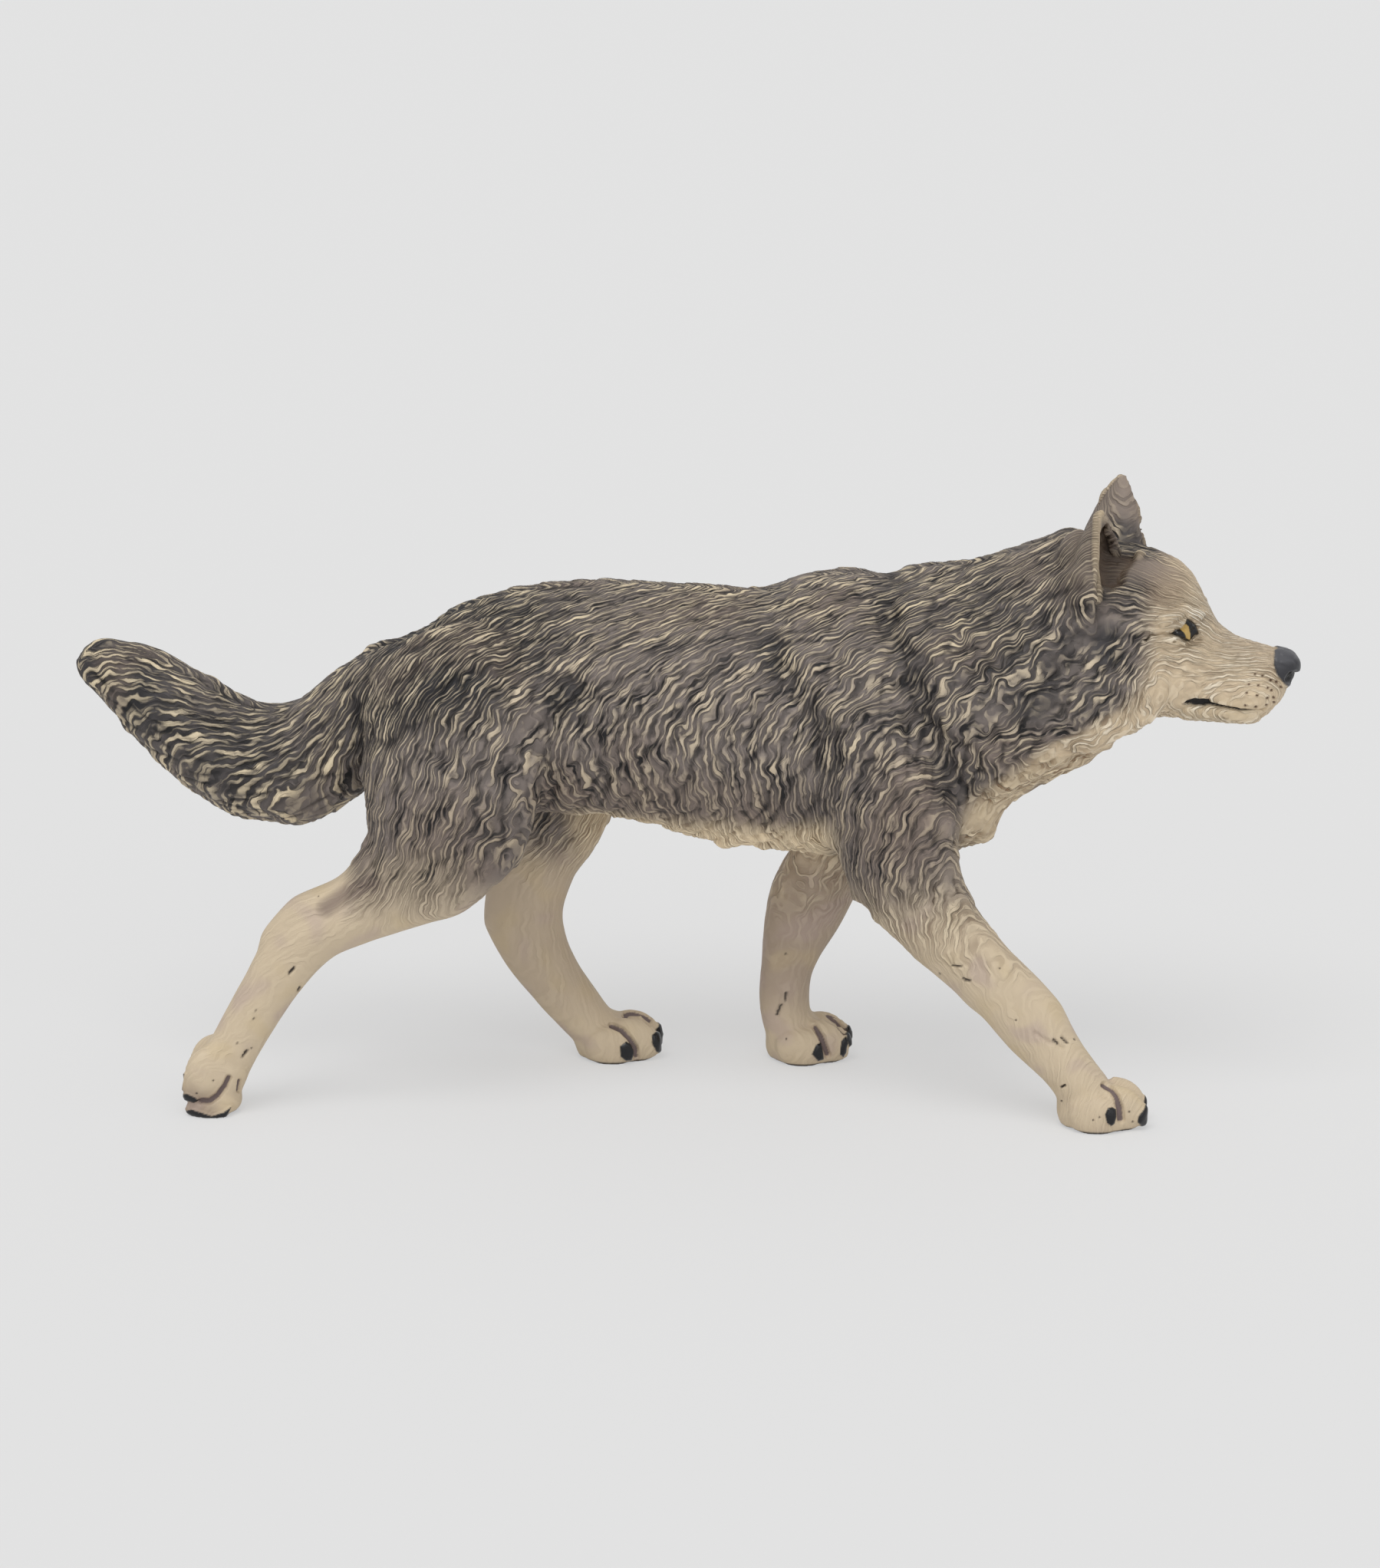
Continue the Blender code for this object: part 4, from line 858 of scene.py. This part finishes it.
# Airbrushed zones of the coat: middle x, z, reach along and across, tilt, tone, share.
ZONES = [
    (2, 34, 18, 6.5, 0, TAUPE, 0.6), (-24, 31, 9, 9, 0, TAUPE, 0.6), (-12, 34, 4, 8, 0, TAUPE, 0.9),
    (24, 33, 8, 8, 0, TAUPE, 0.7), (-24, 50.0, 17, 9.0, 14, CHARCOAL, 1.0),
    (33, 53, 13, 11, 0, CHARCOAL, 0.5), (44, 60.5, 7.5, 5.5, 0, CHARCOAL, 0.85),
    (21, 40, 5, 9, 0, CHARCOAL, 0.3),
    (-11.4, 46.3, 3.4, 3.4, 0, CHARCOAL, 0.85), (4, 55.5, 12, 2.2, 0, CHARCOAL, 0.4),
    (10.5, 50.5, 4.5, 3.2, -35, CHARCOAL, 0.8), (15.5, 42, 2.4, 8, 14, CHARCOAL, 0.5),
    (23, 56, 3.0, 3.5, 0, CHARCOAL, 0.6), (25.3, 47.5, 2.2, 9, 22, CHARCOAL, 0.55),
    (29, 38, 6, 4.0, 0, CHARCOAL, 0.5), (37.5, 46.5, 5, 2.6, 45, CHARCOAL, 0.7),
    (44.5, 52.2, 2.9, 4.0, 0, CHARCOAL, 0.9), (43.5, 47.0, 3.5, 3.5, 0, CHARCOAL, 0.5),
    (41.5, 57.3, 1.3, 2.2, 0, CHARCOAL, 0.6), (-30, 45, 3.5, 7, -20, CHARCOAL, 0.75),
    (-19, 31, 5, 7, 20, CHARCOAL, 0.3), (-36, 41, 7, 8, 0, CHARCOAL, 0.65),
    (-48, 38, 13, 9, -20, CHARCOAL, 0.8), (-60, 45, 12, 9, -30, CHARCOAL, 0.95),
]
for zx, zz, along, athwart, tilt, colour, share in ZONES:
    inside = share * zone((zx, zz), (along, athwart), tilt, 0.75)
    paint(base, colour, inside)
    if colour is CHARCOAL:
        paint(wash_and_shade, tone(18, 17, 19), inside)
# Painted shade: charcoal laid into the gutters under the tufts.
paint(base, CHARCOAL, 0.75 * shaded)
brush *= 1.0 - 0.5 * shaded
paint(base, TAUPE, 0.5 * ease(wander, 0.05, 0.5))
paint(crest, tone(222, 205, 174), ease(z, 49.0, 55.0) * (1.0 - ease(x, 30.0, 40.0)))
paint(crest, tone(172, 157, 136), (1.0 - ease(z, 33.0, 44.0)) * (1.0 - tail))
paint(crest, tone(214, 198, 168), tail)

for middle, radii, tilt, share in (
    ((-24, 50), (17, 8), 14, 0.2), ((36, 56), (10, 7), -25, 0.15), ((44, 60), (6, 5), 0, 0.25),
):
    base *= (1.0 - share * zone(middle, radii, tilt, 0.4))[:, None]
# Hollows between the locks are painted darker: partly the wash gathering there, partly painted shade.
hollow_wash_and_shade = ease(-proud, 0.1, 1.9) * (1.0 - low_leg) * (1.0 - 0.6 * face)
for layer, depth_of_tone in ((base, 0.45), (crest, 0.25), (wash_and_shade, 0.4)):
    layer *= (1.0 - depth_of_tone * hollow_wash_and_shade)[:, None]
belly = (1.0 - ease(z + 1.2 * wander, 30.0, 34.0)) * ease(x, -14.0, -9.0) * (1.0 - ease(x, 14.5, 18.0))
throat = zone((41.0, 39.3), (9.5, 3.6), 24, 0.5)
chest = zone((33.5, 32.0), (5.0, 7.5), -20, 0.55)
jaw = zone((48.5, 43.4), (7.0, 3.0), 0, 0.6)
light_under = np.clip(belly + throat + chest + jaw, 0.0, 1.0)
paint(base, CREAM, 0.85 * light_under)
# The belly is paler still: the figurine's cream, lightened further as painted light thrown up from the
# floor.
paint(base, tone(238, 218, 184), 0.9 * belly)
paint(base, tone(200, 182, 154), 0.7 * (y > 2.0) * zone((-6.0, 29.0), (8.0, 7.5), 0, 0.5))
paint(crest, tone(240, 222, 190), light_under)
paint(wash_and_shade, tone(146, 120, 92), 0.9 * light_under)

tan_edge = np.interp(z, [41.5, 43.6, 45.7, 48.1, 50.7, 52.7, 55.1, 57.7, 60.5],
                     [38.2, 42.4, 45.3, 46.6, 47.3, 48.0, 48.0, 48.7, 49.7])
face_front = ease(x + 1.2 * wander - tan_edge, -0.8, 2.2) * (z > 40.0)
paint(base, TAN, 0.95 * face_front)
paint(base, tone(150, 130, 112), 0.6 * zone((50.5, 58.0), (3.2, 3.4), 0, 0.7))
paint(base, tone(206, 186, 160), 0.6 * zone((59.5, 51.0), (6.5, 1.8), -24, 0.7))
paint(base, CREAM, 0.8 * zone((56.5, 44.2), (6.5, 2.4), 0, 0.6) * face_front)
paint(crest, tone(240, 228, 206), face_front)
paint(crest, tone(222, 202, 172), zone((51.0, 58.5), (4.0, 3.6), 0, 0.6))
paint(crest, tone(255, 248, 232), zone((53.5, 54.3), (3.2, 1.6), 0, 0.5))
paint(wash_and_shade, tone(112, 90, 70), 0.9 * face_front)

upper_fore = (1.0 - ease(z + 2.0 * wander, 20.0, 29.5)) * ease(x, 4.0, 8.0)
legs = np.clip(np.maximum(low_leg * 1.15, upper_fore), 0.0, 1.0)
paint(base, LEG, 0.55 * zone((-28.0, 26.5), (9.0, 5.5), 10, 0.8))
paint(base, LEG, legs)
paint(crest, tone(224, 208, 180), legs)
paint(wash_and_shade, tone(126, 106, 88), legs)
# Painted shade on the far legs, darker up towards the body.
paint(base, LEG_PAINTED_SHADE, np.where(x > 0, 0.8, 0.4) * legs * (y > 0) * ease(z, 3.0, 9.0))
# Painted shade over the near hind paw.
paint(base, tone(132, 114, 102), 0.7 * (y < 0) * zone((-53.0, 0.6), (5.5, 4.5), 0, 0.6))
paint(base, tone(192, 172, 132), 0.3 * ease(mottle, 0.1, 0.6) * legs)
paint(base, tone(176, 157, 148), 0.55 * ease(-mottle, 0.1, 0.6) * legs)
hock_shade = line_share([(-33.4, 22.5), (-36.3, 21.4), (-38.6, 19.6)], 2.6, near_limb)
paint(base, tone(122, 106, 98), 0.8 * hock_shade)
calm = np.maximum(zone((43.5, 53.9), (2.6, 3.0), 0, 0.6), zone((-18.8, 26.3), (2.6, 2.8), 0, 0.6))
for layer in (brush, wash_and_shade_amount):
    layer *= 1.0 - 0.85 * calm
    layer *= 1.0 - 0.88 * low_leg
lips = zone((60.5, 45.3), (5.5, 2.8), 0, 0.6)
brush *= 1.0 - 0.05 * face_front - 0.5 * lips
wash_and_shade_amount *= 1.0 - 0.45 * face_front - 0.4 * lips

ears_tone = ease(z, 57.0, 60.0) * ease(x, 39.0, 41.0) * ease(np.abs(y), 2.0, 3.5)
paint(base, tone(138, 124, 112), 0.7 * ears_tone)
paint(base, tone(132, 112, 92), 0.9 * ear_hollow)
paint(base, tone(60, 47, 38), 0.95 * patch_share(EAR_HOLLOW, 2.4, ear_side))
paint(base, tone(176, 158, 132), 0.85 * np.maximum(ear_rim, 0.7 * ear_front))
paint(base, tone(186, 168, 140), 0.9 * spot_share((44.3, 65.0), 3.4, ear_side))
ear_plain = ears_tone * np.where(points[:, 1] < 0, 1.0, 0.8) * (1.0 - 0.5 * (points[:, 0] < 43.4))
for layer in (brush, wash_and_shade_amount):
    layer *= 1.0 - 0.85 * np.maximum(ear_hollow, ear_plain)
paint(base, tone(56, 50, 46), 1.0 - ease(z, 0.15, 0.4))
flat = np.zeros(count)
for share, colour in (
    (toe_dark, tone(108, 94, 92)), (pit_dark, tone(52, 44, 40)), (whisker_dark, tone(92, 68, 52)),
    (mouth_black, tone(26, 23, 23)), (eye_black, tone(16, 15, 16)), (claw_black, tone(22, 22, 25)),
    (patch_share(IRIS, 0.12, on_face), tone(186, 156, 92)),
):
    paint(base, colour, ease(share, 0.0, 0.8))
    flat = np.maximum(flat, ease(share, 0.0, 0.8))
paint(base, tone(50, 50, 54), nose_black)
# Painted highlight: the black nose is lighter grey where it faces up.
paint(base, tone(92, 92, 96), 0.6 * nose_black * ease(normals[:, 2], 0.2, 0.9))
paint(base, tone(18, 17, 18), nostril_dark)
flat = np.clip(np.maximum(flat, nose_black), 0.0, 1.0)
for layer in (brush, wash_and_shade_amount):
    layer *= 1.0 - flat
gloss = np.clip(0.45 * nose_black + 0.9 * eye_black + 0.8 * claw_black, 0.0, 1.0)


# Painted lengths of the body: the one moulding, parted where the lengths meet only so that each
# stays light enough to handle. Neighbours share the points and normals of their seams.

def brush_group():
    """Dry brush and wash: paint on the crests, dark thin paint in the furrows that also serves as painted
    shade.
    """
    group = bpy.data.node_groups.new("brushed_paint", "ShaderNodeTree")
    for label, kind in (
        ("Base", "NodeSocketColor"), ("Crest", "NodeSocketColor"), ("Wash and shade", "NodeSocketColor"),
        ("Strand", "NodeSocketFloat"), ("Along", "NodeSocketFloat"), ("Proud", "NodeSocketFloat"),
        ("Brush", "NodeSocketFloat"), ("Wash amount", "NodeSocketFloat"),
    ):
        group.interface.new_socket(label, in_out="INPUT", socket_type=kind)
    group.interface.new_socket("Color", in_out="OUTPUT", socket_type="NodeSocketColor")
    group.interface.new_socket("Height", in_out="OUTPUT", socket_type="NodeSocketFloat")
    put = group.nodes
    link = group.links
    given = put.new("NodeGroupInput")
    result = put.new("NodeGroupOutput")

    def sum_of(operation, first, second=None, third=None):
        """One sum on sockets or plain numbers."""
        node = put.new("ShaderNodeMath")
        node.operation = operation
        for socket, value in zip(node.inputs, (first, second, third)):
            if value is None:
                continue
            if isinstance(value, float):
                socket.default_value = value
            else:
                link.new(value, socket)
        return node.outputs["Value"]

    def band(value, start, end):
        """Zero at start, one at end, smooth between."""
        node = put.new("ShaderNodeMapRange")
        node.interpolation_type = "SMOOTHSTEP"
        node.inputs["From Min"].default_value = start
        node.inputs["From Max"].default_value = end
        link.new(value, node.inputs["Value"])
        return node.outputs["Result"]

    place = put.new("ShaderNodeTexCoord")

    def cloudy(scale, detail, roughness=0.5):
        """Cloudy chance values over the surface."""
        node = put.new("ShaderNodeTexNoise")
        node.inputs["Scale"].default_value = scale
        node.inputs["Detail"].default_value = detail
        node.inputs["Roughness"].default_value = roughness
        link.new(place.outputs["Object"], node.inputs["Vector"])
        return node.outputs["Fac"]

    def over(below, above, share):
        """One paint laid over another by a share."""
        node = put.new("ShaderNodeMix")
        node.data_type = "RGBA"
        link.new(share, node.inputs["Factor"])
        link.new(below, node.inputs[6])
        link.new(above, node.inputs[7])
        return node.outputs[2]

    breakup = cloudy(1300.0, 4.0, 0.7)
    patches = cloudy(330.0, 2.0)
    curls = cloudy(620.0, 1.0)
    worn = sum_of("MULTIPLY_ADD", breakup, 0.5, -0.25)
    worn = sum_of("ADD", worn, sum_of("MULTIPLY_ADD", patches, 0.9, -0.45))
    high = sum_of("MULTIPLY_ADD", given.outputs["Proud"], 0.16, worn)

    def strokes(fineness, length, seed):
        """Short wavy hair strokes side by side: how much crest, how much furrow of wash and painted shade.
        """
        wave = sum_of("MULTIPLY_ADD", curls, 1.3, sum_of("MULTIPLY", breakup, 0.22))
        lane = sum_of("MULTIPLY_ADD", given.outputs["Strand"], fineness, sum_of("ADD", wave, seed))
        lane_number = sum_of("FLOOR", lane)
        turned = sum_of("SINE", sum_of("MULTIPLY", lane_number, 2.399))
        own_start = sum_of("FRACT", sum_of("MULTIPLY", turned, 9.73))
        shifted = sum_of("MULTIPLY", own_start, 5.0)
        step = sum_of("MULTIPLY_ADD", given.outputs["Along"], 1.0 / length, shifted)
        step_number = sum_of("FLOOR", step)
        share = sum_of("FRACT", step)
        mixed = sum_of("MULTIPLY_ADD", lane_number, 1.713, sum_of("MULTIPLY_ADD", step_number, 2.937, seed))
        first = sum_of("FRACT", sum_of("MULTIPLY", sum_of("SINE", mixed), 11.37))
        second = sum_of("FRACT", sum_of("MULTIPLY_ADD", first, 7.77, sum_of("MULTIPLY", step_number, 0.37)))
        bend = sum_of("SINE", sum_of("MULTIPLY", sum_of("ADD", share, second), 6.283))
        middle = sum_of("MULTIPLY_ADD", bend, 0.11, sum_of("MULTIPLY_ADD", first, 0.24, 0.38))
        off = sum_of("ABSOLUTE", sum_of("SUBTRACT", sum_of("FRACT", lane), middle))
        taper = sum_of("POWER", sum_of("SINE", sum_of("MULTIPLY", share, 3.1416)), 0.6)
        width = sum_of("MULTIPLY", taper, sum_of("MULTIPLY_ADD", second, 0.12, 0.11))
        body = band(sum_of("SUBTRACT", off, width), 0.06, -0.04)
        body = sum_of("MULTIPLY", body, sum_of("MULTIPLY_ADD", second, 0.7, 0.3))
        beside = sum_of("ABSOLUTE", sum_of("SUBTRACT", off, 0.36))
        ditch = sum_of("MULTIPLY", taper, sum_of("MULTIPLY_ADD", first, 0.6, 0.4))
        ditch = sum_of("MULTIPLY", band(beside, 0.19, 0.09), ditch)
        return sum_of("MULTIPLY", body, taper), ditch

    long_crest, long_ditch = strokes(1.0, 3.4, 0.0)
    short_crest, short_ditch = strokes(1.6, 2.1, 4.3)
    caught = band(high, -0.35, 0.3)
    crest = sum_of("MAXIMUM", long_crest, sum_of("MULTIPLY", short_crest, 0.7))
    crest = sum_of("MULTIPLY", sum_of("MULTIPLY", crest, caught), 1.15)
    crest = sum_of("MINIMUM", crest, 1.0)
    # Furrow beside each stroke: the dark wash, standing also for the painted shade the stroke casts.
    furrow = sum_of("MAXIMUM", long_ditch, sum_of("MULTIPLY", short_ditch, 0.6))
    furrow = sum_of("MULTIPLY", furrow, sum_of("MULTIPLY_ADD", band(high, 0.35, -0.3), 0.4, 0.6))
    furrow = sum_of("MULTIPLY", furrow, sum_of("SUBTRACT", 1.0, crest))
    furrow = sum_of("MINIMUM", sum_of("MULTIPLY", furrow, 1.35), 1.0)
    dark_share = sum_of("MULTIPLY", furrow, given.outputs["Wash amount"])
    dark = over(given.outputs["Base"], given.outputs["Wash and shade"], dark_share)
    pale_share = sum_of("MULTIPLY", crest, given.outputs["Brush"])
    link.new(over(dark, given.outputs["Crest"], pale_share), result.inputs["Color"])
    raised = sum_of("MAXIMUM", long_crest, sum_of("MULTIPLY", short_crest, 0.6))
    sunk = sum_of("MAXIMUM", long_ditch, sum_of("MULTIPLY", short_ditch, 0.6))
    link.new(sum_of("MULTIPLY_ADD", sunk, -0.6, raised), result.inputs["Height"])
    return group


coat_paint, coat_tree, coat_shader = nodes_of("painted_coat")
put = coat_tree.nodes
link = coat_tree.links
painted = put.new("ShaderNodeGroup")
painted.node_tree = brush_group()
for name, output, socket in (
    ("base_tone", "Color", "Base"), ("crest_tone", "Color", "Crest"), ("wash_and_shade_tone", "Color", "Wash and shade"),
    ("strand", "Fac", "Strand"), ("along", "Fac", "Along"), ("proud", "Fac", "Proud"),
    ("brush", "Fac", "Brush"), ("wash_and_shade_amount", "Fac", "Wash amount"),
):
    read = put.new("ShaderNodeAttribute")
    read.attribute_name = name
    link.new(read.outputs[output], painted.inputs[socket])
link.new(painted.outputs["Color"], coat_shader.inputs["Base Color"])
shine = put.new("ShaderNodeAttribute")
shine.attribute_name = "gloss"
rough_range = put.new("ShaderNodeMapRange")
rough_range.inputs["To Min"].default_value = 0.6
rough_range.inputs["To Max"].default_value = 0.14
link.new(shine.outputs["Fac"], rough_range.inputs["Value"])
link.new(rough_range.outputs["Result"], coat_shader.inputs["Roughness"])
coat_shader.inputs["Specular IOR Level"].default_value = 0.38
place = put.new("ShaderNodeTexCoord")
grain = put.new("ShaderNodeTexNoise")
grain.inputs["Scale"].default_value = 2200.0
grain.inputs["Detail"].default_value = 4.0
link.new(place.outputs["Object"], grain.inputs["Vector"])
bump = put.new("ShaderNodeBump")
bump.inputs["Strength"].default_value = 0.3
bump.inputs["Distance"].default_value = 0.00008
link.new(grain.outputs["Fac"], bump.inputs["Height"])
furry = put.new("ShaderNodeMath")
furry.operation = "MULTIPLY"
link.new(painted.outputs["Height"], furry.inputs[0])
amount = put.new("ShaderNodeAttribute")
amount.attribute_name = "brush"
link.new(amount.outputs["Fac"], furry.inputs[1])
strands = put.new("ShaderNodeBump")
strands.inputs["Strength"].default_value = 1.0
strands.inputs["Distance"].default_value = 0.00028
link.new(furry.outputs["Value"], strands.inputs["Height"])
link.new(bump.outputs["Normal"], strands.inputs["Normal"])
link.new(strands.outputs["Normal"], coat_shader.inputs["Normal"])

centre = points[quads].mean(axis=1)
part_of = np.full(len(quads), 2)
part_of[centre[:, 0] > 26.0] = 1
part_of[centre[:, 0] > 48.3] = 0
part_of[centre[:, 0] <= -4.0] = 3
part_of[centre[:, 0] <= -30.0] = 4
part_of[centre[:, 2] < 26.0] = 5
part_of[(centre[:, 2] < 26.0) & (centre[:, 0] < 0.0)] = 6
names = ("muzzle_and_face", "head_and_ruff", "shoulders", "loins", "tail", "fore_legs", "hind_legs")
for number, name in enumerate(names):
    chosen = quads[part_of == number]
    used = np.unique(chosen)
    where = np.full(count, -1)
    where[used] = np.arange(len(used))
    corners = where[chosen]
    mesh = bpy.data.meshes.new(name)
    mesh.vertices.add(len(used))
    mesh.vertices.foreach_set("co", (points[used] * MM).astype(np.float32).ravel())
    mesh.loops.add(len(corners) * 4)
    mesh.loops.foreach_set("vertex_index", corners.astype(np.int32).ravel())
    mesh.polygons.add(len(corners))
    mesh.polygons.foreach_set("loop_start", np.arange(0, len(corners) * 4, 4, dtype=np.int32))
    mesh.update(calc_edges=True)
    mesh.polygons.foreach_set("use_smooth", np.ones(len(corners), dtype=bool))
    for label, values in (("base_tone", base), ("crest_tone", crest), ("wash_and_shade_tone", wash_and_shade)):
        layer = mesh.color_attributes.new(label, "FLOAT_COLOR", "POINT")
        full = np.ones((len(used), 4), dtype=np.float32)
        full[:, :3] = values[used]
        layer.data.foreach_set("color", full.ravel())
    for label, values in (
        ("strand", strand), ("along", way_along), ("proud", proud),
        ("brush", brush), ("wash_and_shade_amount", wash_and_shade_amount), ("gloss", gloss),
    ):
        layer = mesh.attributes.new(label, "FLOAT", "POINT")
        layer.data.foreach_set("value", values[used].astype(np.float32))
    mesh.normals_split_custom_set_from_vertices([tuple(n) for n in normals[used]])
    mesh.materials.append(coat_paint)
    piece = bpy.data.objects.new(name, mesh)
    scene.collection.objects.link(piece)
    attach(piece, "root")
    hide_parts("wolf_figure")
